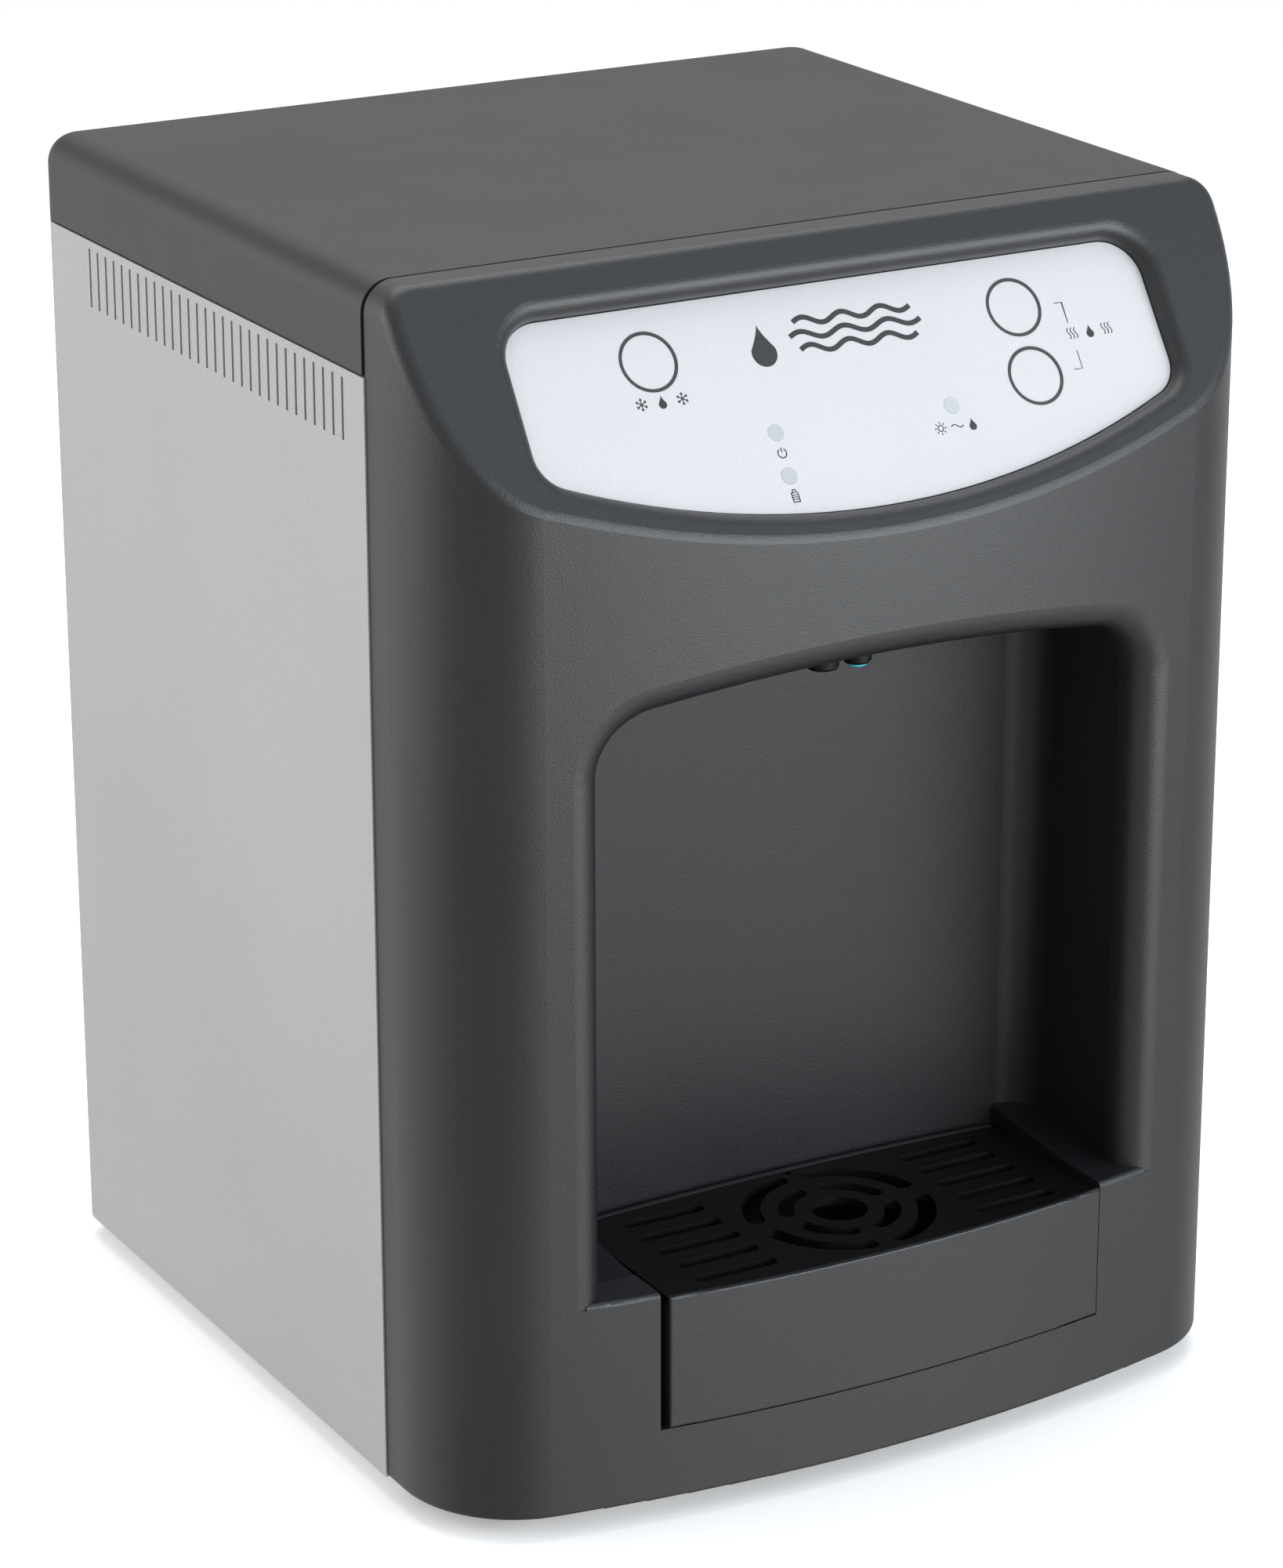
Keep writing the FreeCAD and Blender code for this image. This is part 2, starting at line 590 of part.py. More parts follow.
def front_outside():
    """The front shell's outer surface as a solid, with the alcove's rounded jambs and sill."""
    top = cell("body_height")
    seam = cell("seam_y")
    block = bowed_block("shell_block", 0, "foot_height", "body_height", "seam_y")

    def rim(edge, height):
        return level(edge, height) and any(p.y < seam - 1 for p in samples(edge))

    crowned = fillet("shell_crowned", block,
                     (cell("lid_edge"), lambda edge: rim(edge, top)),
                     (1.5, lambda edge: rim(edge, cell("foot_height"))))
    leaning = cut("shell_leaning", crowned,
                  leaning_cutter("visor_outer", "visor_tilt", "visor_rise"))
    visored = fillet("shell_visored", leaning, (cell("ridge_radius"), on_visor))

    # the jambs are rounded all the way round a taller outline, whose foot is filled again
    reach = (-170, "jamb_depth_y")
    tall = opening_block("mouth_tall", 0, "opening_low - 40", reach, True)
    pierced = cut("shell_pierced", visored, tall)
    centre_y = cell("shell_apex") + cell("front_radius")

    def jamb(edge):
        points = samples(edge)
        on_face = all(abs(math.hypot(p.x, p.y - centre_y) - cell("front_radius")) < 1e-3
                      for p in points)
        inside = max(abs(p.x) for p in points) < cell("opening_half_width") + 0.1
        return (on_face and inside and min(p.z for p in points) > cell("opening_low") - 41
                and max(p.z for p in points) < cell("opening_high") + 1)

    jambed = fillet("shell_jambed", pierced, (cell("jamb_radius"), jamb))
    filling = box("sill_filling", (-116, 116), reach,
                  ("foot_height", "opening_low - sill_radius"))
    sill_half = "opening_half_width + jamb_radius * 0.85"
    cap = common("sill_cap", block, box("sill_cap_box", (f"-({sill_half})", sill_half), reach,
                                        ("opening_low - 10", "opening_low")))

    def sill(edge):
        return level(edge, cell("opening_low")) and all(
            abs(math.hypot(p.x, p.y - centre_y) - cell("front_radius")) < 1e-3
            for p in samples(edge))

    rounded_cap = fillet("sill_rounded", cap, (cell("sill_radius"), sill))
    return fuse("shell_outside", jambed, common("sill_body", crowned, filling), rounded_cap)


def front_shell():
    """Bowed moulding with a leaning visor, the alcove's opening and the tray's notch."""
    reach = (-170, "jamb_depth_y")
    room = cut("shell_room", bowed_block("shell_core", cell("wall"), "foot_height - 1",
                                         "body_height - lid_edge", "seam_y + 1"),
               leaning_cutter("visor_inner", "panel_tilt", "-panel_floor"))
    frame = fuse("shell_frame",
                 opening_block("jamb_block", cell("jamb_wall"), "opening_low - wall", reach),
                 box("notch_block", NOTCH_WALLS, reach, ("notch_low - wall", "opening_low - wall + 1")))
    posts = [cylinder(f"board_post_{index}", 3, "z", ("-board_depth + 0.05", "-panel_floor + 0.5"),
                      spot) for index, spot in enumerate(BOARD_POSTS)]
    hollow = cut("shell_hollow", room, frame, on_panel(group("board_posts", *posts)))
    mouth = opening_block("mouth", 0, "opening_low", (-170, "jamb_depth_y + 2"))
    notch = box("notch", NOTCH_SIDES, (-170, "jamb_depth_y + 2"), ("notch_low", "opening_low + 1"))
    recess = on_panel(overlay_block("overlay_recess", 0, "-overlay_sheet - 0.05", 30))
    recessed = cut("shell_recessed", front_outside(), recess)

    def bezel(edge):
        points = samples(edge)
        tilt = math.radians(cell("panel_tilt"))
        up = V(0, math.sin(tilt), math.cos(tilt))
        origin = V(0, cell("panel_y"), cell("panel_z"))
        heights = [(p - origin).dot(up) for p in points]
        middle = cell("overlay_shift")
        wide = cell("overlay_half_width") + 0.5
        return (on_visor(edge) and max(abs(p.x - middle) for p in points) < wide
                and max(heights) < cell("overlay_top") + 0.5)

    bevelled = fillet("shell_bevelled", recessed, (cell("bezel_radius"), bezel))
    depth = ("-panel_floor - 1", 0)
    holes = [cylinder("shell_hole_" + name, "ring_inner + 0.35", "z", depth, spot)
             for name, spot in BUTTONS.items()]
    holes += [cylinder("shell_hole_" + name, "lens_radius + 0.1", "z", depth, spot)
              for name, spot in LENSES.items()]
    sub_part("front_shell", cut("shell", bevelled, hollow, mouth, notch,
                                on_panel(group("shell_holes", *holes))))


def liner_plan(name, grow, low, high, front):
    """The alcove's plan: straight sides, rounded corners and a slightly bowed back."""
    sides = f"opening_half_width + {grow}"
    blank = box(name + "_blank", (f"-({sides})", sides), (front, -60), (low, high))
    bow = cylinder(name + "_bow", f"alcove_back_radius + {grow}", "z", (low, high),
                   (0, BACK_CENTRE))
    block = common(name + "_bowed", blank, bow)
    return fillet(name, block, (
        cell("alcove_corner") + grow,
        lambda edge: upright(edge) and samples(edge)[0].y > cell("seam_y") - 10))


def alcove_liner():
    """Back, sides and ceiling of the alcove in one moulding, with two sloping ledges."""
    front = "jamb_depth_y + 0.1"
    grow = cell("liner_wall")
    low = "opening_low - wall - 1"
    outer = common("liner_outer",
                   opening_block("liner_outer_arch", grow, low, (front, -60)),
                   liner_plan("liner_outer_plan", grow, low, "opening_high + 20", front))
    inner = common("liner_inner",
                   opening_block("liner_inner_arch", cell("liner_step"), f"{low} - 1",
                                 (f"{front} - 1", -60)),
                   liner_plan("liner_inner_plan", cell("liner_step"), f"{low} - 1",
                              "opening_high + 20", f"{front} - 1"))
    walls = cut("liner_walls", outer, inner)
    wedge = extruded("ledge_wedge", "YZ_Plane", [
        (front, "opening_low - wall"), (-60, "opening_low - wall"),
        (-60, "opening_low + ledge_rise * 1.3"), (front, "opening_low")],
        "-opening_half_width - 1", "opening_half_width + 1")
    middle = box("ledge_gap", NOTCH_SIDES, (-170, -50), (60, 100))
    ledges = cut("ledges", common("ledge_pair", wedge, liner_plan(
        "ledge_plan", 1, "opening_low - 10", "opening_low + 20", front)), middle)

    def beside_tray(edge):
        points = samples(edge)
        reach = cell("notch_half_width") + 0.01
        inner = all(abs(p.x - cell("notch_shift")) < reach for p in points)
        return inner and all(p.z > cell("opening_low") - 0.01 for p in points)

    soft_ledges = fillet("soft_ledges", ledges, (cell("ledge_radius"), beside_tray))
    holes = [cylinder(f"liner_hole_{side}", 6, "z", (250, 320), (f"{side} * nozzle_x", "nozzle_y"))
             for side in (-1, 1)]
    sub_part("alcove_liner", cut("liner", fuse("liner_whole", walls, soft_ledges), *holes))


def tray_bay():
    """Open-topped pocket that the drip tray slides in."""
    outer = box("bay_outer", NOTCH_WALLS, ("jamb_depth_y + 0.1", "alcove_back_y + 2.4"),
                ("notch_low - 2.5", "opening_low - wall - 1.1"))
    room = box("bay_room", ("notch_shift - notch_half_width - 0.4", "notch_shift + notch_half_width + 0.4"),
               (-170, "alcove_back_y - 0.2"), ("tray_low - 0.1", 100))
    sub_part("tray_bay", cut("bay", outer, room))


# --- Drip tray --------------------------------------------------------------------------------

def tray_block(name, sides, front, back, corner, low, high):
    """The tray's plan as a block, inset at its sides, its bowed front and its bowed back."""
    left = f"tray_shift - tray_half_width + {sides}"
    right = f"tray_shift + tray_half_width - {sides}"
    blank = box(name + "_blank", (left, right), (-170, -60), (low, high))
    bow = cylinder(name + "_bow", f"front_radius + 0.2 - {front}", "z", (low, high),
                   (0, FRONT_CENTRE))
    hollow = cylinder(name + "_back", f"tray_back - {back}", "z", (low, high), (0, BACK_CENTRE))
    block = common(name + "_block", blank, bow, hollow)
    return fillet(name, block, (
        corner, lambda edge: upright(edge) and samples(edge)[0].y > cell("seam_y") - 20))


def drip_tray():
    """Pull-out basin with a thick bowed front. The grille lies on its side walls."""
    solid = tray_block("tray_solid", 0, 0, 0, 6, "tray_low", "tray_high")
    centre_y = cell("shell_apex") + cell("front_radius")

    def front_edge(edge):
        return all(abs(math.hypot(p.x, p.y - centre_y) - cell("front_radius") - 0.2) < 1e-3
                   for p in samples(edge))

    softened = fillet("tray_softened", solid, (0.8, front_edge))
    basin = tray_block("tray_basin", cell("tray_wall"), cell("tray_front_wall"), cell("tray_wall"),
                       4, "tray_low + 2.6", 100)
    step = tray_block("tray_step", -2, cell("tray_front_lip"), cell("tray_back_lip"), 1,
                      "grille_low - 0.05", 100)
    sub_part("drip_tray", cut("tray", softened, basin, step))


def ring_slot(name, inner, outer, start, sweep, low, high):
    """A curved slot with round ends between two radii, as a cutting tool."""
    middle, half = (inner + outer) / 2, (outer - inner) / 2
    centre = ("tray_shift", "drain_y")
    rings = []
    for edge, radius in (("outer", outer), ("inner", inner)):
        ring = cylinder(f"{name}_{edge}", radius, "z", (low, high), centre)
        ring.Angle = sweep
        ring.Placement.Rotation = FreeCAD.Rotation(V(0, 0, 1), start)
        rings.append(ring)
    arc = cut(name + "_arc", *rings)
    ends = []
    for index, angle in enumerate((start, start + sweep)):
        turn = math.radians(angle)
        ends.append(cylinder(f"{name}_end_{index}", half, "z", (low, high),
                             (f"tray_shift + {middle * math.cos(turn)}",
                              f"drain_y + {middle * math.sin(turn)}")))
    return fuse(name, arc, *ends)


def drip_grille():
    """Flat plate with a round drain hole, two rings of curved slots and two slot columns."""
    gap = cell("grille_gap")
    plate = tray_block("grille_plate", 0.2, cell("tray_front_lip") + gap,
                       cell("tray_back_lip") + gap, 5, "grille_low", "grille_high")
    low, high = "grille_low - 1", "grille_high + 1"
    tools = [cylinder("drain_eye", 9.5, "z", (low, high), ("tray_shift", "drain_y")),
             cylinder("finger_eye", 1.3, "z", (low, high), ("tray_shift", "drain_y + 33.2"))]
    for index in range(4):
        quarter = 90 * index
        tools.append(ring_slot(f"inner_slot_{index}", 15.0, 20.6, quarter + 18, 54, low, high))
        tools.append(ring_slot(f"outer_slot_{index}", 26.2, 32.4, quarter + 12, 66, low, high))
    for side in (-1, 1):
        for row in range(-2, 3):
            near, far = (41.0, 66.8) if side > 0 else (-66.8, -41.0)
            y = f"drain_y + {row} * grille_slot_pitch"
            name = f"slot_{'right' if side > 0 else 'left'}_{row + 2}"
            tools.append(fuse(
                name,
                box(name + "_run", (f"tray_shift + {near}", f"tray_shift + {far}"),
                    (f"{y} - 2.4", f"{y} + 2.4"), (low, high)),
                cylinder(name + "_a", 2.4, "z", (low, high), (f"tray_shift + {near}", y)),
                cylinder(name + "_b", 2.4, "z", (low, high), (f"tray_shift + {far}", y))))
    sub_part("drip_grille", cut("grille", plate, *tools))


# --- Control panel ----------------------------------------------------------------------------

def control_overlay():
    """Flat silver plate with holes for the button rings and the indicator lenses."""
    plate = overlay_block("overlay_plate", cell("overlay_gap"), "-overlay_sheet", 0)
    depth = ("-overlay_sheet - 1", 1)
    holes = [cylinder("overlay_hole_" + name, "ring_outer + 0.03", "z", depth, spot)
             for name, spot in BUTTONS.items()]
    holes += [cylinder("overlay_hole_" + name, "lens_radius + 0.05", "z", depth, spot)
              for name, spot in LENSES.items()]
    sub_part("control_overlay", on_panel(cut("overlay", plate, *holes)))


def button_rings():
    rings = []
    for name, spot in BUTTONS.items():
        depth = ("-overlay_sheet - 0.05", 0.15)
        rings.append(cut("ring_" + name, cylinder("ring_rim_" + name, "ring_outer", "z", depth, spot),
                         cylinder("ring_bore_" + name, "ring_inner", "z", (-5, 5), spot)))
    sub_part("button_rings", on_panel(group("rings", *rings)))


def buttons():
    """Flat caps, each with a collar behind the recess floor and a stem to its switch."""
    for name, spot in BUTTONS.items():
        cap = cylinder(name + "_cap", "button_radius", "z", ("-panel_floor - 0.1", -0.05), spot)
        collar = cylinder(name + "_collar", "ring_outer + 0.5", "z",
                          ("-panel_floor - 1.1", "-panel_floor - 0.1"), spot)
        stem = cylinder(name + "_stem", 3, "z", ("-board_depth + 5", "-panel_floor - 1"), spot)
        sub_part(name, on_panel(fuse(name + "_moulding", cap, collar, stem)))


def control_electronics():
    """Indicator light pipes, the control board and its switches."""
    lenses = [cylinder("lens_" + name, "lens_radius", "z", ("-board_depth + 2", 0.05), spot)
              for name, spot in LENSES.items()]
    sub_part("indicator_lenses", on_panel(group("lenses", *lenses)))

    board = box("board_plate", (-98, 98), (-8, 48), ("-board_depth - 1.6", "-board_depth"))
    holes = [cylinder(f"board_hole_{index}", 1.6, "z", ("-board_depth - 2", "-board_depth + 1"),
                      spot) for index, spot in enumerate(BOARD_POSTS)]
    sub_part("control_board", on_panel(cut("board", board, *holes)))

    switches = []
    for name, (x, y) in BUTTONS.items():
        case = box("case_" + name, (f"{x} - 3", f"{x} + 3"), (f"{y} - 3", f"{y} + 3"),
                   ("-board_depth", "-board_depth + 3.2"))
        plunger = cylinder("plunger_" + name, 1.75, "z", ("-board_depth + 3", "-board_depth + 3.7"),
                           (x, y))
        switches.append(fuse("switch_" + name, case, plunger))
    sub_part("tact_switches", on_panel(group("switches", *switches)))


# --- Dispensing -------------------------------------------------------------------------------

def nozzles():
    """Two nozzles hanging through the alcove's ceiling from one block."""
    seat = "opening_high + liner_wall + 0.2"
    for name, sign, radius, mouth in (("hot_nozzle", -1, 5.4, 2.6), ("cold_nozzle", 1, 4.7, 3.25)):
        nozzle = turned(name + "_body", [
            (mouth, "nozzle_tip"), (radius - 0.6, "nozzle_tip"), (radius, "nozzle_tip + 0.8"),
            (radius, f"{seat}"), (6.3, seat), (6.3, f"{seat} + 2"), (2.2, f"{seat} + 2"),
            (2.2, "nozzle_tip + 3.05"), (mouth, "nozzle_tip + 3.05")])
        sub_part(name, place(nozzle, f"{sign} * nozzle_x", "nozzle_y", 0))
    ring = turned("ring_of_nozzle", [
        (2.3, "nozzle_tip - 1.0"), (3.0, "nozzle_tip - 1.0"), (3.2, "nozzle_tip - 0.8"),
        (3.2, "nozzle_tip + 3.0"), (2.3, "nozzle_tip + 3.0")])
    sub_part("nozzle_ring", place(ring, "nozzle_x", "nozzle_y", 0))
    block = box("block_body", (-20, 20), ("nozzle_y - 9", "nozzle_y + 9"),
                (f"{seat} + 2", f"{seat} + 12"))
    bores = [cylinder(f"block_bore_{side}", 2.2, "z", (280, f"{seat} + 8"),
                      (f"{side} * nozzle_x", "nozzle_y")) for side in (-1, 1)]
    sub_part("nozzle_block", cut("block", block, *bores))


def valves():
    """Solenoid valves: a body with a coil on top and a spout towards its outlet."""
    seat = "opening_high + liner_wall + 0.2"
    for name, x in (("hot_valve", -27), ("cold_valve", 27)):
        case = box(name + "_case", (x - 9, x + 9), (-108, -84), (f"{seat} + 2", f"{seat} + 20"))
        coil = cylinder(name + "_coil", 11, "z", (f"{seat} + 20", f"{seat} + 44"), (x, -96))
        port = cylinder(name + "_port", "tube_radius", "y", (-84.5, -80), (x, f"{seat} + 11"))
        sub_part(name, fuse(name + "_body", case, coil, port))
    case = box("inlet_case", ("water_inlet_x - 12", "water_inlet_x + 12"), (24, 56), (PAN_TOP, 44))
    coil = cylinder("inlet_coil", 12, "z", (43.5, 78), ("water_inlet_x", 40))
    ports = [cylinder("inlet_port_front", "tube_radius", "y", (18, 24.5), ("water_inlet_x", "pipe_z")),
             cylinder("inlet_port_rear", "tube_radius", "y", (55.5, 62), ("water_inlet_x", "pipe_z"))]
    sub_part("inlet_valve", fuse("inlet_valve_body", case, coil, *ports))


# --- Tanks ------------------------------------------------------------------------------------

def cold_tank():
    """Steel tank wound with an evaporator coil inside a two-part foam jacket."""
    floor = "shelf_z + 1.5"
    tank = turned("cold_tank_shell", [
        (0, f"{floor} + 14"), (46, f"{floor} + 14"), (50, f"{floor} + 18"), (50, f"{floor} + 144"),
        (46, f"{floor} + 148"), (0, f"{floor} + 148"), (0, f"{floor} + 147"), (45.5, f"{floor} + 147"),
        (49, f"{floor} + 143.5"), (49, f"{floor} + 18.5"), (45.5, f"{floor} + 15"),
        (0, f"{floor} + 15")])
    sub_part("cold_tank", place(tank, "cold_tank_x", "cold_tank_y", 0))
    rings = []
    for turn in range(9):
        ring = doc.addObject("Part::Torus", f"coil_turn_{turn}")
        bind(ring, Radius1="53.2", Radius2="3")
        rings.append(place(ring, "cold_tank_x", "cold_tank_y", f"{floor} + 40 + {turn} * 9"))
    sub_part("evaporator_coil", group("coil_turns", *rings))
    cup = turned("foam_cup", [
        (0, floor), (72, floor), (72, f"{floor} + 160"), (57, f"{floor} + 160"),
        (57, f"{floor} + 14"), (0, f"{floor} + 14")])
    sub_part("insulation_cup", place(cup, "cold_tank_x", "cold_tank_y", 0))
    lid = turned("foam_lid", [
        (0, f"{floor} + 160"), (72, f"{floor} + 160"), (72, f"{floor} + 174"), (0, f"{floor} + 174")])
    sub_part("insulation_lid", place(lid, "cold_tank_x", "cold_tank_y", 0))


def hot_tank():
    """Steel tank on a stand, with a foam jacket and an immersion heater in its floor."""
    tank = turned("hot_tank_shell", [
        (16.2, 34), (36, 34), (40, 38), (40, 138), (36, 142), (0, 142), (0, 141), (35.5, 141),
        (39, 137.5), (39, 38.5), (35.5, 35), (16.2, 35)])
    sub_part("hot_tank", place(tank, "hot_tank_x", "hot_tank_y", 0))
    jacket = turned("hot_jacket", [
        (40.2, 42), (47, 42), (47, 148), (0, 148), (0, 142.2), (40.2, 142.2)])
    sub_part("hot_tank_jacket", place(jacket, "hot_tank_x", "hot_tank_y", 0))
    stand = turned("hot_stand", [
        (33, PAN_TOP), (39.5, PAN_TOP), (39.5, f"{PAN_TOP} + 2"), (35, f"{PAN_TOP} + 2"),
        (35, 33.9), (33, 33.9)])
    sub_part("hot_tank_stand", place(stand, "hot_tank_x", "hot_tank_y", 0))
    x, y = cell("hot_tank_x"), cell("hot_tank_y")
    flange = cylinder("heater_flange", 16, "z", (29, 38), ("hot_tank_x", "hot_tank_y"))
    rod = feature("heater_rod", swept(
        [V(x - 9, y, 37), V(x - 9, y, 112), V(x + 9, y, 112), V(x + 9, y, 37)], 8.9, 3.5))
    sub_part("heating_element", fuse("heater", flange, rod))


def inner_frame():
    """Bent sheet: a divider that stands on the pan and a shelf for the cold tank."""
    top = "shelf_z + 1.5"
    parts = [
        box("divider", ("divider_x", "divider_x + 1.5"), (-48, 132), (PAN_TOP, top)),
        box("divider_foot", ("divider_x", "divider_x + 14"), (-48, 132), (PAN_TOP, f"{PAN_TOP} + 1.5")),
        box("shelf", ("divider_x", f"{HALF} - 2.5"), (-48, 132), ("shelf_z", top)),
        box("shelf_flange", (f"{HALF} - 4", f"{HALF} - 2.5"), (-48, 132), ("shelf_z - 20", top)),
    ]
    sub_part("inner_frame", fuse("frame", *parts))


# --- Cooling ----------------------------------------------------------------------------------

def compressor():
    """Hermetic compressor on a foot plate with four rubber grommets."""
    seat = f"{PAN_TOP} + 12.6"
    dome = turned("compressor_dome", [
        (0, 24), (40, 24), (46, 30), (48, 40), (48, 82), (49, 83), (49, 86), (48, 87), (47, 118),
        (42, 132), (30, 142), (0, 146)])
    place(dome, "compressor_x", "compressor_y", 0)
    plate = box("compressor_plate", ("compressor_x - 56", "compressor_x + 56"),
                ("compressor_y - 43", "compressor_y + 43"), (seat, f"{seat} + 3"))
    corners = [(i, j) for i in (-1, 1) for j in (-1, 1)]
    holes = [cylinder(f"plate_hole_{i}_{j}", 5, "z", (seat, f"{seat} + 4"),
                      (f"compressor_x + {i} * 46", f"compressor_y + {j} * 34")) for i, j in corners]
    terminal = box("compressor_terminal", ("compressor_x - 60", "compressor_x - 44"),
                   ("compressor_y - 15", "compressor_y + 15"), (70, 105))
    sub_part("compressor", fuse("compressor_whole", dome, cut("foot_plate", plate, *holes), terminal))
    grommets, bolts = [], []
    for i, j in corners:
        grommet = turned(f"grommet_{i}_{j}".replace("-", "m"), [
            (3.2, PAN_TOP), (9, PAN_TOP), (9, f"{seat} - 0.02"), (4.9, f"{seat} - 0.02"),
            (4.9, f"{seat} + 3.1"), (8, f"{seat} + 3.1"), (8, f"{seat} + 5"), (3.2, f"{seat} + 5")])
        spot = (f"compressor_x + {i} * 46", f"compressor_y + {j} * 34")
        grommets.append(place(grommet, spot[0], spot[1], 0))
        shank = cylinder(f"bolt_shank_{i}_{j}", 3, "z", ("foot_height", f"{seat} + 6"), spot)
        head = cylinder(f"bolt_head_{i}_{j}", 6, "z", (f"{seat} + 5.1", f"{seat} + 9"), spot)
        bolts.append(fuse(f"bolt_{i}_{j}", shank, head))
    sub_part("compressor_grommets", group("grommets", *grommets))
    return bolts


def condenser():
    """Wire-on-tube condenser behind the rear louvres."""
    y, left, right, low, pitch, passes = 138.6, -96.0, 96.0, 206.0, 16.0, 11
    points = []
    for row in range(passes):
        ends = (left, right) if row % 2 == 0 else (right, left)
        height = low + row * pitch
        points += [V(ends[0], y, height), V(ends[1], y, height)]
    coil = feature("condenser_tube", swept(points, pitch / 2 - 0.01, 2.4))
    sub_part("condenser_coil", coil)
    wires = [cylinder(f"wire_{index}", 0.8, "z", (198, 374), (f"{-90 + index * 9}", y - 3.25))
             for index in range(21)]
    sub_part("condenser_wires", group("wires", *wires))
    straps = [box(f"strap_{index}", (x, f"{x} + 12"), (y + 2.45, y + 3.6), (196, 376))
              for index, x in enumerate((-86, 74))]
    sub_part("condenser_straps", group("straps", *straps))


# --- Water treatment --------------------------------------------------------------------------

def filters():
    """Two quick-change cartridges standing in a manifold on a stand."""
    low = "filter_seat - 26"
    block = box("manifold_block", (-140, -82), (-62, 65), (low, "filter_seat"))
    bores = [cylinder(f"manifold_bore_{name}", 12, "z", ("filter_seat - 14", "filter_seat + 1"),
                      ("filter_x", f"filter_{name}_y")) for name in ("front", "rear")]
    ports = [cylinder("manifold_port_out", "tube_radius", "x", (-82.5, -76), (20, "filter_seat - 14")),
             cylinder("manifold_port_in", "tube_radius", "z", (f"{low} - 6", f"{low} + 1"),
                      ("water_inlet_x", -10))]
    sub_part("filter_manifold", fuse("manifold", cut("manifold_bored", block, *bores), *ports))
    for label, name in (("sediment_filter", "front"), ("carbon_filter", "rear")):
        seat = "filter_seat"
        can = turned(label + "_can", [
            (0, f"{seat} - 12"), (11.92, f"{seat} - 12"), (11.92, f"{seat} + 0.4"), (22, f"{seat} + 0.4"),
            (29, f"{seat} + 8"), (29, f"{seat} + 200"), (24, f"{seat} + 210"), (0, f"{seat} + 212")])
        place(can, "filter_x", f"filter_{name}_y", 0)
        grip = box(label + "_grip", ("filter_x - 20", "filter_x + 20"),
                   (f"filter_{name}_y - 4", f"filter_{name}_y + 4"), (f"{seat} + 205", f"{seat} + 228"))
        sub_part(label, fuse(label + "_whole", can, grip))
    stand = [
        box("stand_top", (-140, -82), (-62, 65), (f"{low} - 1.5", low)),
        box("stand_front", (-140, -82), (-62, -60.5), (PAN_TOP, low)),
        box("stand_rear", (-140, -82), (63.5, 65), (PAN_TOP, low)),
    ]
    holes = [cylinder("stand_port_hole", 4, "z", (f"{low} - 5", f"{low} + 1"), ("water_inlet_x", -10)),
             cylinder("stand_tube_hole", 4, "y", (60, 70), ("water_inlet_x", "pipe_z"))]
    sub_part("filter_stand", cut("stand", fuse("stand_bent", *stand), *holes))


def ultraviolet():
    """Steel lamp housing with capped ends and a glass lamp along its axis."""
    housing = turned("lamp_housing", [
        (10.2, 95), (24, 95), (24, 103), (22, 103), (22, 327), (24, 327), (24, 335), (10.2, 335),
        (10.2, 327), (20.5, 327), (20.5, 103), (10.2, 103)])
    place(housing, "lamp_x", "lamp_y", 0)
    ports = [cylinder("lamp_port_low", "tube_radius", "y", (72, 79.2), ("lamp_x", 114)),
             cylinder("lamp_port_high", "tube_radius", "y", (72, 79.2), ("lamp_x", 315))]
    legs = [box(f"lamp_leg_{index}", (x, f"{x} + 2"), (90, 108), (PAN_TOP, 96))
            for index, x in enumerate((-62, -36))]
    sub_part("uv_housing", fuse("housing_whole", housing, *ports, *legs))
    lamp = turned("lamp_glass", [(0, 90), (6, 90), (10, 96), (10, 334), (6, 340), (0, 340)])
    sub_part("uv_lamp", place(lamp, "lamp_x", "lamp_y", 0))


# --- Rear services ----------------------------------------------------------------------------

def power_inlet():
    """Three-pin mains inlet with a screwed flange."""
    centre = "inlet_x"
    body_box = box("socket_body", (f"{centre} - 14", f"{centre} + 14"), (124, f"{REAR_FACE} + 0.5"),
                   ("service_z - 10", "service_z + 10"))
    flange = box("socket_flange", (f"{centre} - 25", f"{centre} + 25"),
                 (REAR_FACE, f"{REAR_FACE} + 2.6"), ("service_z - 13", "service_z + 13"))
    cavity = box("socket_cavity", (f"{centre} - 12.2", f"{centre} + 12.2"), (132, 160),
                 ("service_z - 8.2", "service_z + 8.2"))
    screw_holes = [cylinder(f"socket_screw_{side}", 1.7, "y", (140, 160),
                            (f"{centre} + {side} * 20", "service_z")) for side in (-1, 1)]
    shell = cut("socket_shell", fuse("socket_blank", body_box, flange), cavity, *screw_holes)
    pins = [box(f"socket_pin_{index}", (f"{centre} + {x - 1}", f"{centre} + {x + 1}"), (132, 146),
                (f"service_z + {z - 2}", f"service_z + {z + 2}"))
            for index, (x, z) in enumerate(((-7, -2), (0, 2), (7, -2)))]
    sub_part("power_inlet", group("socket_with_pins", shell, *pins))


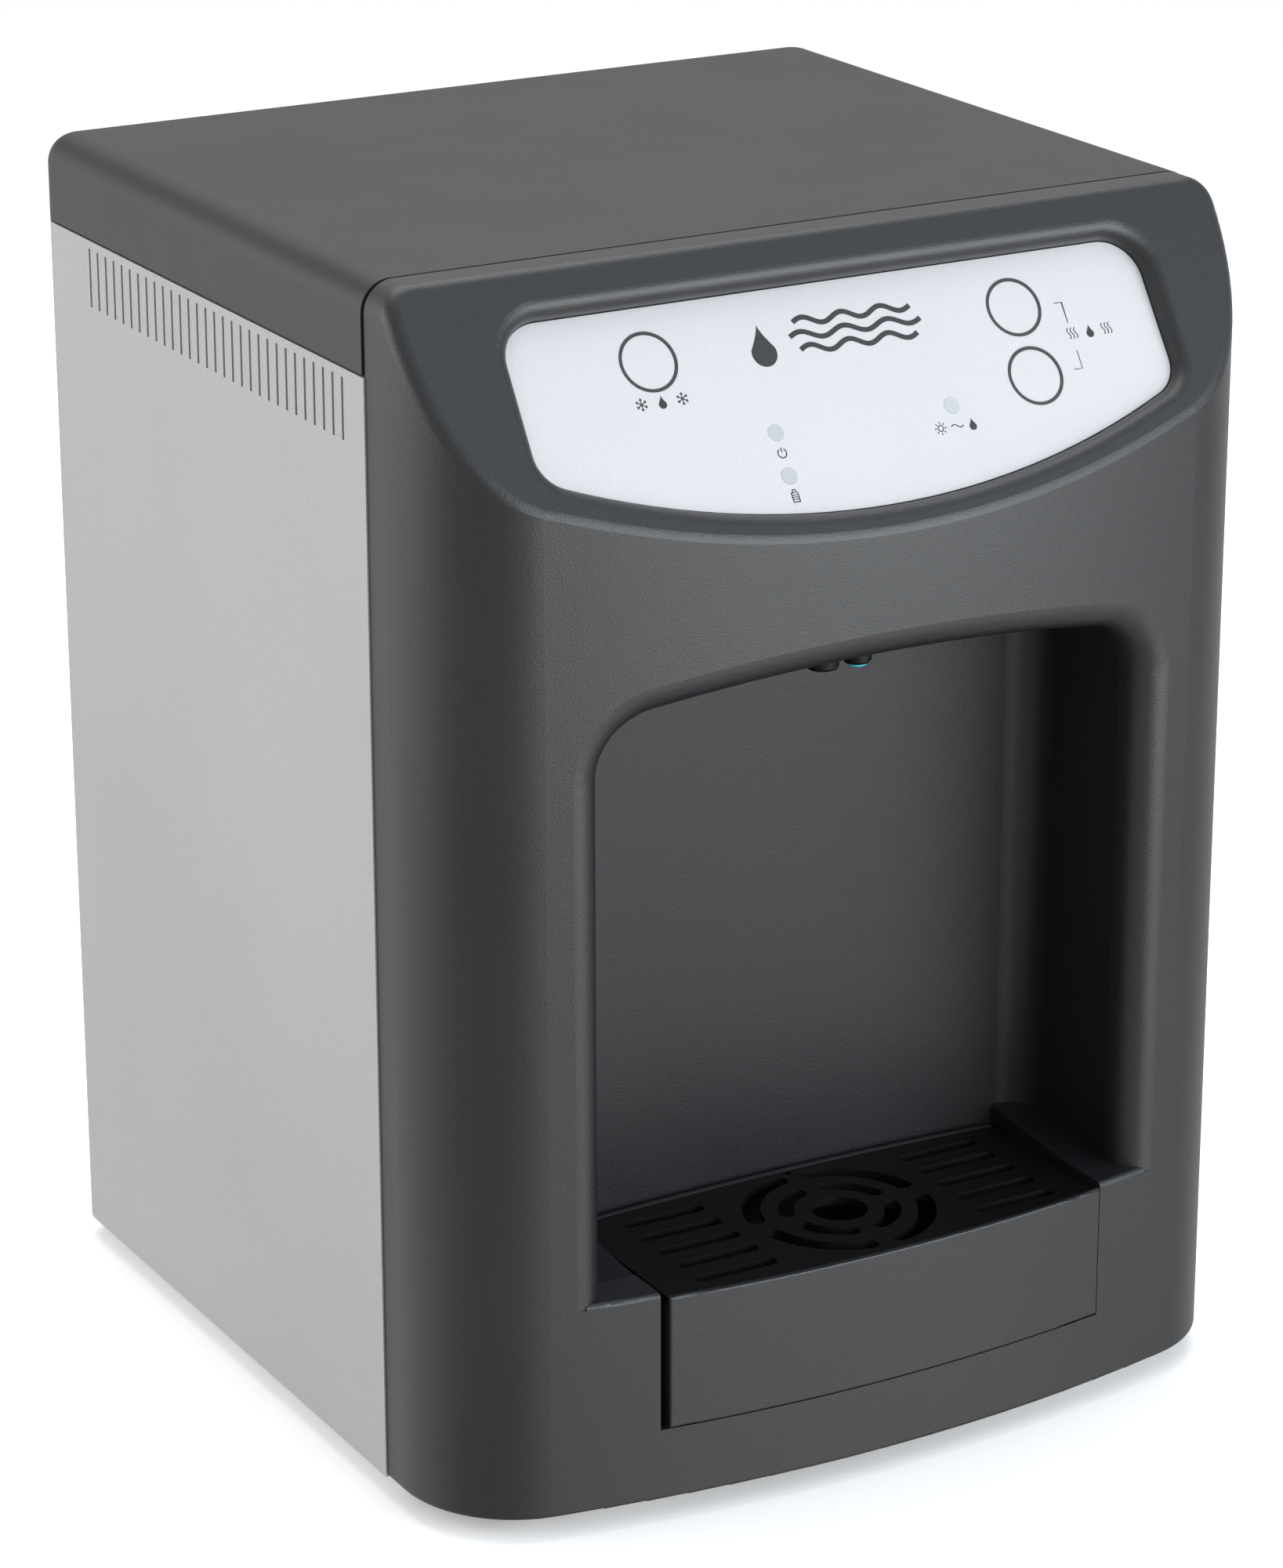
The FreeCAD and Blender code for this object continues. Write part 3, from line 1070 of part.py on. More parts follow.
def rocker_switches():
    """Two rocker switches: a bezel with a case behind it, and a rocker on its own pins."""
    bezels = []
    for name in ("hot_rocker", "cold_rocker"):
        centre = name + "_x"
        blank = fuse(name + "_bezel_blank",
                     box(name + "_rim", (f"{centre} - 9", f"{centre} + 9"),
                         (REAR_FACE, f"{REAR_FACE} + 2"), ("service_z - 13", "service_z + 13")),
                     box(name + "_case", (f"{centre} - 7", f"{centre} + 7"),
                         (128, f"{REAR_FACE} + 0.5"), ("service_z - 11", "service_z + 11")))
        room = box(name + "_room", (f"{centre} - 5.2", f"{centre} + 5.2"),
                   ("rocker_axis_y - 9.6", 160), ("service_z - 9.5", "service_z + 9.5"))
        pivot = cylinder(name + "_pivot_hole", 1.25, "x", (f"{centre} - 6.2", f"{centre} + 6.2"),
                         ("rocker_axis_y", "service_z"))
        bezels.append(cut(name + "_bezel", blank, room, pivot))
        key = extruded(name + "_key", "YZ_Plane", [
            (-5, 0), (-2, -6.2), (5.2, -7.2), (3.6, 0), (5.2, 7.2), (-2, 6.2)], -5, 5)
        pins = cylinder(name + "_pins", 1.2, "x", (-6, 6), (0, 0))
        rocker = fuse(name + "_whole", key, pins)
        place(rocker, centre, "rocker_axis_y", "service_z", V(1, 0, 0), "rocker_tilt")
        sub_part(name, rocker)
    sub_part("rocker_bezels", group("bezels", *bezels))


def water_fittings():
    """Push-fit water inlet, and a drain spout closed by a rubber plug."""
    inside, outside = f"{REAR_FACE} - sheet", REAR_FACE
    inlet = fuse(
        "inlet_blank",
        cylinder("inlet_barrel", 8, "y", (128, f"{outside} + 0.5"), ("water_inlet_x", "pipe_z")),
        cylinder("inlet_flange", 10.5, "y", (outside, f"{outside} + 2"), ("water_inlet_x", "pipe_z")),
        cylinder("inlet_collet", 6.2, "y", (outside, f"{BACK} - 0.1"), ("water_inlet_x", "pipe_z")),
        cylinder("inlet_nut", 11, "y", (f"{inside} - 5", inside), ("water_inlet_x", "pipe_z")),
        cylinder("inlet_tail", 4.5, "y", (120, 129), ("water_inlet_x", "pipe_z")))
    bores = [cylinder("inlet_bore", 3.2, "y", (135, 160), ("water_inlet_x", "pipe_z")),
             cylinder("inlet_throat", 2.0, "y", (110, 136), ("water_inlet_x", "pipe_z"))]
    sub_part("water_inlet", cut("inlet_fitting", inlet, *bores))
    drain = fuse(
        "drain_blank",
        cylinder("drain_barrel", 8, "y", (128, f"{outside} + 0.5"), ("drain_x", "pipe_z")),
        cylinder("drain_flange", 10.5, "y", (outside, f"{outside} + 2"), ("drain_x", "pipe_z")),
        cylinder("drain_nut", 11, "y", (f"{inside} - 5", inside), ("drain_x", "pipe_z")))
    drain_bore = cylinder("drain_bore", 5.5, "y", (131, 160), ("drain_x", "pipe_z"))
    sub_part("drain_spout", cut("drain_fitting", drain, drain_bore))
    plug = fuse(
        "plug_blank",
        cylinder("plug_shank", 5.44, "y", (137, f"{outside} + 2.1"), ("drain_x", "pipe_z")),
        cylinder("plug_head", 8.5, "y", (f"{outside} + 2.05", f"{BACK} - 0.6"), ("drain_x", "pipe_z")))
    sub_part("drain_plug", plug)


def power_supply():
    case = box("supply_case", (-72, -30), (8, 84), (f"{PAN_TOP} + 0.05", 52))
    sub_part("power_supply", fillet("supply", case, (2.0, upright)))


def water_tubes():
    """Water tubes: straight runs joined by arcs, hollow, one solid each."""
    radius = cell("tube_radius")
    bore, bend = 2.1, 12.0
    pipe_z, inlet_x = cell("pipe_z"), cell("water_inlet_x")
    valve_z = cell("opening_high") + cell("liner_wall") + 11.2
    hot_x, hot_y = cell("hot_tank_x"), cell("hot_tank_y")
    lamp_x = cell("lamp_x")
    lid_z = cell("shelf_z") + 175.6
    manifold_z = cell("filter_seat")
    routes = {
        "mains": ([V(inlet_x, 119.9, pipe_z), V(inlet_x, 62.1, pipe_z)], bend),
        "valve_to_filters": ([V(inlet_x, 17.9, pipe_z), V(inlet_x, -10, pipe_z),
                              V(inlet_x, -10, manifold_z - 32.1)], bend),
        "filters_to_lamp": ([V(-75.9, 20, manifold_z - 14), V(lamp_x, 20, manifold_z - 14),
                             V(lamp_x, 71.9, 114)], bend),
        "lamp_to_cold_tank": ([V(lamp_x, 71.9, 315), V(lamp_x, 40, 315), V(lamp_x, 40, 372),
                               V(45, 40, 372), V(45, 40, lid_z)], bend),
        "cold": ([V(27, 10, lid_z), V(27, 10, 372), V(27, -62, 372), V(27, -62, valve_z),
                  V(27, -79.9, valve_z)], 10.0),
        "hot": ([V(hot_x, hot_y, 148.1), V(hot_x, hot_y, 162), V(hot_x, -64, 162),
                 V(hot_x, -64, 280), V(-27, -64, 280), V(-27, -64, valve_z),
                 V(-27, -79.9, valve_z)], 8.0),
    }
    tubes = [feature("tube_" + name, hose(points, turn, radius, bore))
             for name, (points, turn) in routes.items()]
    sub_part("water_tubes", group("tubes", *tubes))


def rear_screws():
    """Screws of the rear panel, in the side panels' tabs, and of the power inlet."""
    screws = []
    for side in (-1, 1):
        for height in (30, 190, 350):
            spot = (f"{side} * ({HALF} - rear_flange - 8)", height)
            name = f"{'right' if side > 0 else 'left'}_{height}"
            head = cylinder("rear_head_" + name, 4, "y", (REAR_FACE, f"{REAR_FACE} + 2.4"), spot)
            shank = cylinder("rear_shank_" + name, 1.6, "y", (f"{REAR_FACE} - 9", REAR_FACE), spot)
            slot = box("rear_slot_" + name, (f"{spot[0]} - 3", f"{spot[0]} + 3"),
                       (f"{REAR_FACE} + 1.4", 160), (height - 0.5, height + 0.5))
            screws.append(cut("rear_screw_" + name, fuse("rear_blank_" + name, head, shank), slot))
    for side in (-1, 1):
        spot = (f"inlet_x + {side} * 20", "service_z")
        head = cylinder(f"socket_head_{side}", 3, "y", (f"{REAR_FACE} + 2.6", f"{REAR_FACE} + 4.4"), spot)
        shank = cylinder(f"socket_shank_{side}", 1.6, "y", (f"{REAR_FACE} - 6", f"{REAR_FACE} + 2.6"),
                         spot)
        screws.append(fuse(f"socket_screw_whole_{side}", head, shank))
    sub_part("rear_screws", group("screws_of_rear", *screws))


top_cover()
side_panel("left", -1)
side_panel("right", 1)
rear_panel()
base_pan()
foot_fixings = feet()
front_shell()
alcove_liner()
tray_bay()
drip_tray()
drip_grille()
control_overlay()
button_rings()
buttons()
control_electronics()
nozzles()
valves()
inner_frame()
cold_tank()
hot_tank()
compressor_bolts = compressor()
sub_part("pan_fasteners", group("fasteners_of_pan", *foot_fixings, *compressor_bolts))
condenser()
filters()
ultraviolet()
power_inlet()
rocker_switches()
water_fittings()
power_supply()
water_tubes()
rear_screws()
doc.recompute()

for thing in doc.Objects:
    if "Invalid" in thing.State or "Error" in thing.State:
        raise RuntimeError(f"{thing.Name} failed to build: {thing.State}")
for thing in SUB_PARTS:
    if thing.Shape.isNull() or not thing.Shape.isValid():
        raise RuntimeError(f"{thing.Label} has no valid shape")

os.makedirs("parts", exist_ok=True)
for thing in SUB_PARTS:
    thing.Shape.exportStep(f"parts/{thing.Label}.step")
print(len(SUB_PARTS), "sub-parts written")
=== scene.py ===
"""Looks of the countertop water dispenser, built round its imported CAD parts."""
import json
import math

import bmesh
import bpy
from mathutils import Matrix, Vector


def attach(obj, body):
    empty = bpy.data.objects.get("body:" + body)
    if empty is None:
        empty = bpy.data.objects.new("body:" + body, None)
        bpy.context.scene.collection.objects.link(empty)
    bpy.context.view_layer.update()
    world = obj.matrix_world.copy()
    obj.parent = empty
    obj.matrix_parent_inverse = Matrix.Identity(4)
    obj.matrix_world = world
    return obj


MM = 0.001
FACE_DEPTH = 0.0002      # how far behind its foremost point a disc's face may reach
CAP_GAP = 0.05           # points of two caps are never this close, those of one cap always are
LENS_GAP = 0.008
INK_HALF = 0.00003       # how far a printed mark stands out of the overlay, and reaches into it
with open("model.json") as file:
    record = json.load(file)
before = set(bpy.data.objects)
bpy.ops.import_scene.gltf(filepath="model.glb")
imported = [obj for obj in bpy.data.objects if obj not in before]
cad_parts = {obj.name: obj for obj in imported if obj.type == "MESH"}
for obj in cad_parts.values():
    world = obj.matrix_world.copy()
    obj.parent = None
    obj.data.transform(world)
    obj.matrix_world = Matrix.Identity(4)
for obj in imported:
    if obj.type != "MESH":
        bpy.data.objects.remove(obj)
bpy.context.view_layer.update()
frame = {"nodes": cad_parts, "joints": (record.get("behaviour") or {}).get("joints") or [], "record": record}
nodes = frame["nodes"]


# --- Materials --------------------------------------------------------------------------------

class Graph:
    """Nodes of one material, joined as they are made."""

    def __init__(self, name):
        self.material = bpy.data.materials.new(name)
        self.material.use_nodes = True
        self.tree = self.material.node_tree
        self.tree.nodes.clear()
        self.output = self.tree.nodes.new("ShaderNodeOutputMaterial")
        self.shader = self.tree.nodes.new("ShaderNodeBsdfPrincipled")
        self.tree.links.new(self.shader.outputs[0], self.output.inputs["Surface"])
        self.coordinates = self.tree.nodes.new("ShaderNodeTexCoord").outputs["Object"]

    def link(self, source, target):
        self.tree.links.new(source, target)

    def set(self, **values):
        for key, value in values.items():
            self.shader.inputs[key.replace("_", " ")].default_value = value

    def stretched(self, scale):
        """Object coordinates multiplied by a scale along each axis."""
        node = self.tree.nodes.new("ShaderNodeMapping")
        node.inputs["Scale"].default_value = scale
        self.link(self.coordinates, node.inputs["Vector"])
        return node.outputs["Vector"]

    def noise(self, scale, detail=2.0, roughness=0.5, vector=None):
        node = self.tree.nodes.new("ShaderNodeTexNoise")
        node.inputs["Scale"].default_value = scale
        node.inputs["Detail"].default_value = detail
        node.inputs["Roughness"].default_value = roughness
        self.link(vector or self.coordinates, node.inputs["Vector"])
        return node.outputs["Fac"]

    def cells(self, scale, feature):
        node = self.tree.nodes.new("ShaderNodeTexVoronoi")
        node.feature = feature
        node.inputs["Scale"].default_value = scale
        self.link(self.coordinates, node.inputs["Vector"])
        return node.outputs["Distance"]

    def ramp(self, value, *stops):
        """A colour ramp: each stop is (place, colour)."""
        node = self.tree.nodes.new("ShaderNodeValToRGB")
        while len(node.color_ramp.elements) < len(stops):
            node.color_ramp.elements.new(0.5)
        for element, (place, colour) in zip(node.color_ramp.elements, stops):
            element.position = place
            element.color = (*colour, 1.0)
        self.link(value, node.inputs["Fac"])
        return node.outputs["Color"]

    def span(self, value, low, high, start=0.0, end=1.0):
        node = self.tree.nodes.new("ShaderNodeMapRange")
        for key, number in (("From Min", start), ("From Max", end), ("To Min", low), ("To Max", high)):
            node.inputs[key].default_value = number
        self.link(value, node.inputs["Value"])
        return node.outputs["Result"]

    def mix(self, factor, first, second):
        node = self.tree.nodes.new("ShaderNodeMix")
        node.data_type = "RGBA"
        for socket, value in ((node.inputs[0], factor), (node.inputs[6], first), (node.inputs[7], second)):
            if isinstance(value, tuple):
                socket.default_value = (*value, 1.0)
            elif isinstance(value, (int, float)):
                socket.default_value = value
            else:
                self.link(value, socket)
        return node.outputs[2]

    def bump(self, height, distance):
        node = self.tree.nodes.new("ShaderNodeBump")
        node.inputs["Strength"].default_value = 1.0
        node.inputs["Distance"].default_value = distance
        self.link(height, node.inputs["Height"])
        return node.outputs["Normal"]


def moulded(name, dark, light, roughness, grain, depth, speck=0.0, specular=0.5):
    """Moulded plastic: a fine etched texture with slow changes of colour and gloss."""
    g = Graph(name)
    slow = g.noise(9.0, 3.0)
    colour = g.ramp(slow, (0.3, dark), (0.7, light))
    fine = g.noise(grain, 4.0, 0.6)
    if speck:
        colour = g.mix(g.span(fine, 0.0, speck, 0.35, 0.75), colour,
                       tuple(min(1.0, c * 1.9 + 0.01) for c in light))
    g.link(colour, g.shader.inputs["Base Color"])
    g.link(g.span(g.noise(28.0, 3.0), roughness - 0.012, roughness + 0.015, 0.3, 0.7),
           g.shader.inputs["Roughness"])
    g.link(g.bump(fine, depth), g.shader.inputs["Normal"])
    g.set(Specular_IOR_Level=specular)
    return g.material


def powder_coat(name, dark, light, roughness, metallic, grain, depth):
    """Textured paint on sheet steel, with metal flake in it."""
    g = Graph(name)
    slow = g.noise(6.0, 3.0)
    colour = g.ramp(slow, (0.3, dark), (0.7, light))
    flake = g.noise(grain, 3.0, 0.7)
    colour = g.mix(g.span(flake, 0.0, 0.35, 0.5, 0.8), colour, tuple(min(1.0, c * 1.35) for c in light))
    colour = g.mix(g.span(g.noise(grain * 0.7, 2.0), 0.3, 0.0, 0.2, 0.45), colour,
                   tuple(c * 0.72 for c in dark))
    g.link(colour, g.shader.inputs["Base Color"])
    g.link(g.span(flake, roughness + 0.08, roughness - 0.06, 0.3, 0.7), g.shader.inputs["Roughness"])
    g.link(g.bump(flake, depth), g.shader.inputs["Normal"])
    g.set(Metallic=metallic)
    return g.material


def metal(name, dark, light, roughness, along=(1.0, 1.0, 1.0), grain=400.0, depth=0.00001):
    """Bare metal with a drawn, rolled or brushed grain along one axis."""
    g = Graph(name)
    vector = g.stretched(along)
    lines = g.noise(grain, 4.0, 0.6, vector)
    colour = g.ramp(g.noise(20.0, 3.0), (0.3, dark), (0.7, light))
    colour = g.mix(g.span(lines, 0.0, 0.3, 0.4, 0.7), colour, dark)
    g.link(colour, g.shader.inputs["Base Color"])
    g.link(g.span(lines, roughness - 0.08, roughness + 0.1, 0.3, 0.7), g.shader.inputs["Roughness"])
    g.link(g.bump(lines, depth), g.shader.inputs["Normal"])
    g.set(Metallic=1.0)
    return g.material


def galvanised(name):
    """Zinc-coated sheet with its spangle."""
    g = Graph(name)
    spangle = g.tree.nodes.new("ShaderNodeTexVoronoi")
    spangle.inputs["Scale"].default_value = 130.0
    g.link(g.coordinates, spangle.inputs["Vector"])
    grey = g.tree.nodes.new("ShaderNodeRGBToBW")
    g.link(spangle.outputs["Color"], grey.inputs[0])
    colour = g.ramp(grey.outputs[0], (0.2, (0.42, 0.43, 0.44)), (0.8, (0.58, 0.59, 0.6)))
    g.link(colour, g.shader.inputs["Base Color"])
    g.link(g.span(grey.outputs[0], 0.32, 0.5), g.shader.inputs["Roughness"])
    g.link(g.bump(g.noise(600.0), 0.00001), g.shader.inputs["Normal"])
    g.set(Metallic=1.0)
    return g.material


def glass(name):
    g = Graph(name)
    g.link(g.ramp(g.noise(40.0), (0.3, (0.86, 0.92, 0.95)), (0.7, (0.95, 0.98, 1.0))),
           g.shader.inputs["Base Color"])
    g.set(Roughness=0.04, IOR=1.46, Transmission_Weight=0.9)
    return g.material


def circuit(name):
    """Green solder mask over copper tracks."""
    g = Graph(name)
    track = g.cells(240.0, "DISTANCE_TO_EDGE")
    colour = g.ramp(track, (0.03, (0.05, 0.24, 0.09)), (0.09, (0.012, 0.09, 0.035)))
    g.link(colour, g.shader.inputs["Base Color"])
    g.link(g.bump(track, 0.00003), g.shader.inputs["Normal"])
    g.set(Roughness=0.3)
    return g.material


LOOKS = {
    "charcoal_plastic": moulded("charcoal_plastic", (0.0082, 0.0086, 0.0088), (0.0118, 0.0122, 0.0124),
                                0.40, 1700.0, 0.00012, 0.14, 0.45),
    # painted reflection: the front shell and drip tray are the lid's charcoal plastic, with a blue cast in
    # the base colour standing in for the cool light they reflect; glossier than the lid
    "shell_plastic_painted_reflection": moulded("shell_plastic_painted_reflection", (0.0092, 0.0100, 0.0114), (0.0120, 0.0129, 0.0144),
                             0.35, 1700.0, 0.00012, 0.14),
    # painted shade: the alcove liner is the same charcoal plastic, with a darker base colour standing in for
    # the shade inside the alcove, a blue cast standing in for cool reflected light, and a lower specular
    # level
    "liner_plastic_painted_shade": moulded("liner_plastic_painted_shade", (0.0068, 0.0074, 0.0090), (0.0092, 0.0099, 0.0116),
                             0.37, 1700.0, 0.00012, 0.12, 0.38),
    "silver_paint": powder_coat("silver_paint", (0.322, 0.330, 0.322), (0.350, 0.358, 0.350), 0.5, 0.35,
                                1500.0, 0.00004),
    "overlay_silver": powder_coat("overlay_silver", (0.485, 0.482, 0.490), (0.525, 0.522, 0.530), 0.42, 0.25,
                                  2200.0, 0.00001),
    "ring_dark": moulded("ring_dark", (0.025, 0.025, 0.026), (0.034, 0.034, 0.035), 0.42, 1500.0, 0.00001),
    "black_plastic": moulded("black_plastic", (0.0022, 0.0024, 0.0024), (0.0036, 0.0038, 0.0038),
                             0.5, 1700.0, 0.00008, 0.02, 0.2),
    "lens_grey": moulded("lens_grey", (0.33, 0.345, 0.365), (0.39, 0.405, 0.425), 0.25, 900.0, 0.000005),
    "teal_plastic": moulded("teal_plastic", (0.01, 0.30, 0.36), (0.02, 0.38, 0.44), 0.25, 900.0, 0.000005),
    "galvanised": galvanised("galvanised"),
    "stainless": metal("stainless", (0.46, 0.46, 0.46), (0.6, 0.6, 0.6), 0.3, (1.0, 1.0, 0.03)),
    "fastener_steel": metal("fastener_steel", (0.42, 0.43, 0.44), (0.6, 0.6, 0.61), 0.3),
    "foot_rubber": moulded("foot_rubber", (0.018, 0.018, 0.018), (0.028, 0.028, 0.028), 0.75, 1400.0,
                           0.00008),
    "circuit_green": circuit("circuit_green"),
    "foam_white": moulded("foam_white", (0.66, 0.66, 0.64), (0.78, 0.78, 0.76), 0.85, 330.0, 0.0004),
    "copper": metal("copper", (0.55, 0.25, 0.13), (0.72, 0.36, 0.2), 0.25, (0.1, 0.1, 1.0)),
    "compressor_black": moulded("compressor_black", (0.008, 0.008, 0.009), (0.014, 0.014, 0.015), 0.22,
                                260.0, 0.00006),
    "filter_white": moulded("filter_white", (0.62, 0.64, 0.65), (0.72, 0.74, 0.75), 0.38, 1600.0, 0.00003),
    "filter_blue": moulded("filter_blue", (0.36, 0.44, 0.55), (0.45, 0.53, 0.63), 0.4, 1600.0, 0.00003),
    "lamp_glass": glass("lamp_glass"),
    "tube_white": moulded("tube_white", (0.62, 0.65, 0.68), (0.74, 0.77, 0.8), 0.35, 700.0, 0.00001),
    "rocker_red": moulded("rocker_red", (0.30, 0.008, 0.008), (0.42, 0.015, 0.012), 0.25, 900.0, 0.00001),
    "rocker_green": moulded("rocker_green", (0.008, 0.16, 0.04), (0.015, 0.24, 0.07), 0.25, 900.0,
                            0.00001),
}
# looks for parts whose base colour holds painted light: blue-cast plastic for the shell and tray, and darker
# blue-cast plastic with painted shade for the alcove liner
PAINTED_LIGHT_LOOKS = {"front_shell": "shell_plastic_painted_reflection", "drip_tray": "shell_plastic_painted_reflection",
               "alcove_liner": "liner_plastic_painted_shade"}

for part in frame["record"]["subparts"]:
    node = nodes[part["node"]]
    look = PAINTED_LIGHT_LOOKS.get(part["node"], part["material_slot"])
    node.data.materials.clear()
    node.data.materials.append(LOOKS[look])

# --- Printed marks on the control panel -------------------------------------------------------

presses = {j["child"]: Vector(j["axis"]) for j in frame["joints"] if j["name"].endswith("_press")}
OUT = -presses["cold_water_button"].normalized()
ACROSS = Vector((1.0, 0.0, 0.0))
UP = OUT.cross(ACROSS)
FACE = max(v.co.dot(OUT) for v in nodes["control_overlay"].data.vertices)


def disc_centres(node, gap):
    """The centres of a node's front discs, in order along X."""
    points = [v.co for v in nodes[node].data.vertices]
    front = max(p.dot(OUT) for p in points)
    rims = sorted((p for p in points if p.dot(OUT) > front - FACE_DEPTH),
                  key=lambda p: (round(p.x, 2), p.z))
    discs = []
    for p in rims:
        for disc in discs:
            if (disc[0] - p).length < gap:
                disc.append(p)
                break
        else:
            discs.append([p])
    centres = []
    for disc in discs:
        lows = Vector([min(p[i] for p in disc) for i in range(3)])
        highs = Vector([max(p[i] for p in disc) for i in range(3)])
        centres.append((lows + highs) / 2)
    return centres


def arc(radius, start, end, steps):
    """Points along a round stretch about the origin, its angles in degrees."""
    turns = [math.radians(start + (end - start) * i / steps) for i in range(steps + 1)]
    return [(radius * math.cos(turn), radius * math.sin(turn)) for turn in turns]


def ribbon(points, width):
    """The outline of a stroke along a line of points."""
    sides = ([], [])
    for index, (x, y) in enumerate(points):
        before = points[max(index - 1, 0)]
        after = points[min(index + 1, len(points) - 1)]
        run = Vector((after[0] - before[0], after[1] - before[1])).normalized()
        if 0 < index < len(points) - 1:
            one = Vector((x - before[0], y - before[1])).normalized()
            stretch = 1.0 / max(0.5, run.dot(one))
        else:
            stretch = 1.0
        across = Vector((-run.y, run.x)) * width / 2 * stretch
        sides[0].append((x + across.x, y + across.y))
        sides[1].append((x - across.x, y - across.y))
    return list(zip(*sides))


def moved(strokes, x, y):
    """Strokes shifted. A stroke is (points, width), and a width of 0 fills the points."""
    return [([(x + px, y + py) for px, py in points], width) for points, width in strokes]


def drop_shape(height):
    """A filled droplet, round below and pointed above."""
    radius = height * 0.32
    tip = height - radius
    outline = arc(radius, 160, 380, 20)
    curve = []
    for i in range(1, 8):
        t = i / 8
        x = radius * math.cos(math.radians(20)) * (1 - t) ** 1.35
        y = radius * math.sin(math.radians(20)) + (tip - radius * math.sin(math.radians(20))) * t
        curve.append((x, y))
    return [(outline + curve + [(0.0, tip)] + [(-x, y) for x, y in reversed(curve)], 0.0)]


def snow_shape(size, width):
    strokes = []
    for angle in (0, 60, 120):
        c, s = math.cos(math.radians(angle + 30)), math.sin(math.radians(angle + 30))
        strokes.append(([(-c * size / 2, -s * size / 2), (c * size / 2, s * size / 2)], width))
        for sign in (-1, 1):
            root = (sign * c * size * 0.30, sign * s * size * 0.30)
            for bend in (-40, 40):
                a = math.radians(angle + 30 + bend) if sign > 0 else math.radians(angle + 210 + bend)
                strokes.append(([root, (root[0] + math.cos(a) * size * 0.17,
                                        root[1] + math.sin(a) * size * 0.17)], width * 0.8))
    return strokes


def sun_shape(size, width):
    strokes = [(arc(size * 0.22, 0, 360, 28), width)]
    for angle in range(0, 360, 45):
        c, s = math.cos(math.radians(angle)), math.sin(math.radians(angle))
        strokes.append(([(c * size * 0.34, s * size * 0.34), (c * size * 0.5, s * size * 0.5)], width))
    return strokes


def power_shape(size, width):
    return [(arc(size * 0.42, 122, 418, 32), width), ([(0, size * 0.08), (0, size * 0.52)], width)]


def filter_shape(size, width):
    """A cartridge: a can with a neck and three bands."""
    w, h = size * 0.28, size * 0.5
    strokes = [([(-w, -h), (w, -h), (w, h * 0.55), (-w, h * 0.55), (-w, -h - width / 2)], width),
               ([(-w * 0.5, h * 0.55), (-w * 0.5, h), (w * 0.5, h), (w * 0.5, h * 0.55)], width)]
    for level in (-0.55, -0.2, 0.15):
        strokes.append(([(-w, level * h), (w, level * h)], width * 0.8))
    return strokes


def wave_line(length, height, waves, width, upright=False):
    points = []
    steps = 14 * waves
    for i in range(steps + 1):
        t = i / steps
        a, b = t * length - length / 2, height / 2 * math.sin(2 * math.pi * waves * t)
        points.append((b, a) if upright else (a, b))
    return [(points, width)]


def printed(name, strokes, origin, material):
    """A printed mark: thin solid strokes in millimetres on a plane through the origin."""
    build = bmesh.new()
    for points, width in strokes:
        if width == 0.0:
            rails = None
            loop = points
        else:
            rails = ribbon(points, width)
        layers = []
        for height in (-INK_HALF, INK_HALF):
            def at(q):
                return origin + ACROSS * (q[0] * MM) + UP * (q[1] * MM) + OUT * height
            if rails is None:
                layers.append([build.verts.new(at(q)) for q in loop])
            else:
                layers.append([(build.verts.new(at(a)), build.verts.new(at(b))) for a, b in rails])
        low, high = layers
        if rails is None:
            count = len(low)
            build.faces.new(high)
            build.faces.new(list(reversed(low)))
            for i in range(count):
                j = (i + 1) % count
                build.faces.new((low[i], low[j], high[j], high[i]))
        else:
            for (la, lb), (lc, ld), (ha, hb), (hc, hd) in zip(low, low[1:], high, high[1:]):
                build.faces.new((ha, hb, hd, hc))
                build.faces.new((la, lc, ld, lb))
                build.faces.new((la, ha, hc, lc))
                build.faces.new((lb, ld, hd, hb))
            for end_low, end_high in ((low[0], high[0]), (low[-1], high[-1])):
                build.faces.new((end_low[0], end_low[1], end_high[1], end_high[0]))
    bmesh.ops.recalc_face_normals(build, faces=build.faces)
    mesh = bpy.data.meshes.new(name)
    build.to_mesh(mesh)
    build.free()
    mesh.materials.append(material)
    thing = bpy.data.objects.new(name, mesh)
    bpy.context.scene.collection.objects.link(thing)
    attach(thing, "cabinet")


INK = moulded("ink", (0.014, 0.014, 0.015), (0.024, 0.024, 0.026), 0.5, 3000.0, 0.000005)
BUTTONS = ("cold_water_button", "hot_release_button", "hot_water_button")
ON_FACE = {name: disc_centres(name, CAP_GAP)[0] for name in BUTTONS}
LENS_CENTRES = disc_centres("indicator_lenses", LENS_GAP)
left_lenses = sorted((c for c in LENS_CENTRES if c.x < 0), key=lambda c: -c.z)
lamp_lens = next(c for c in LENS_CENTRES if c.x > 0)


def on_face(point, u=0.0, v=0.0):
    """The spot on the overlay's face at an offset in millimetres from a point."""
    spot = point + ACROSS * (u * MM) + UP * (v * MM)
    return spot + OUT * (FACE - spot.dot(OUT))


def mark(name, strokes, spot):
    printed(name, strokes, spot, INK)


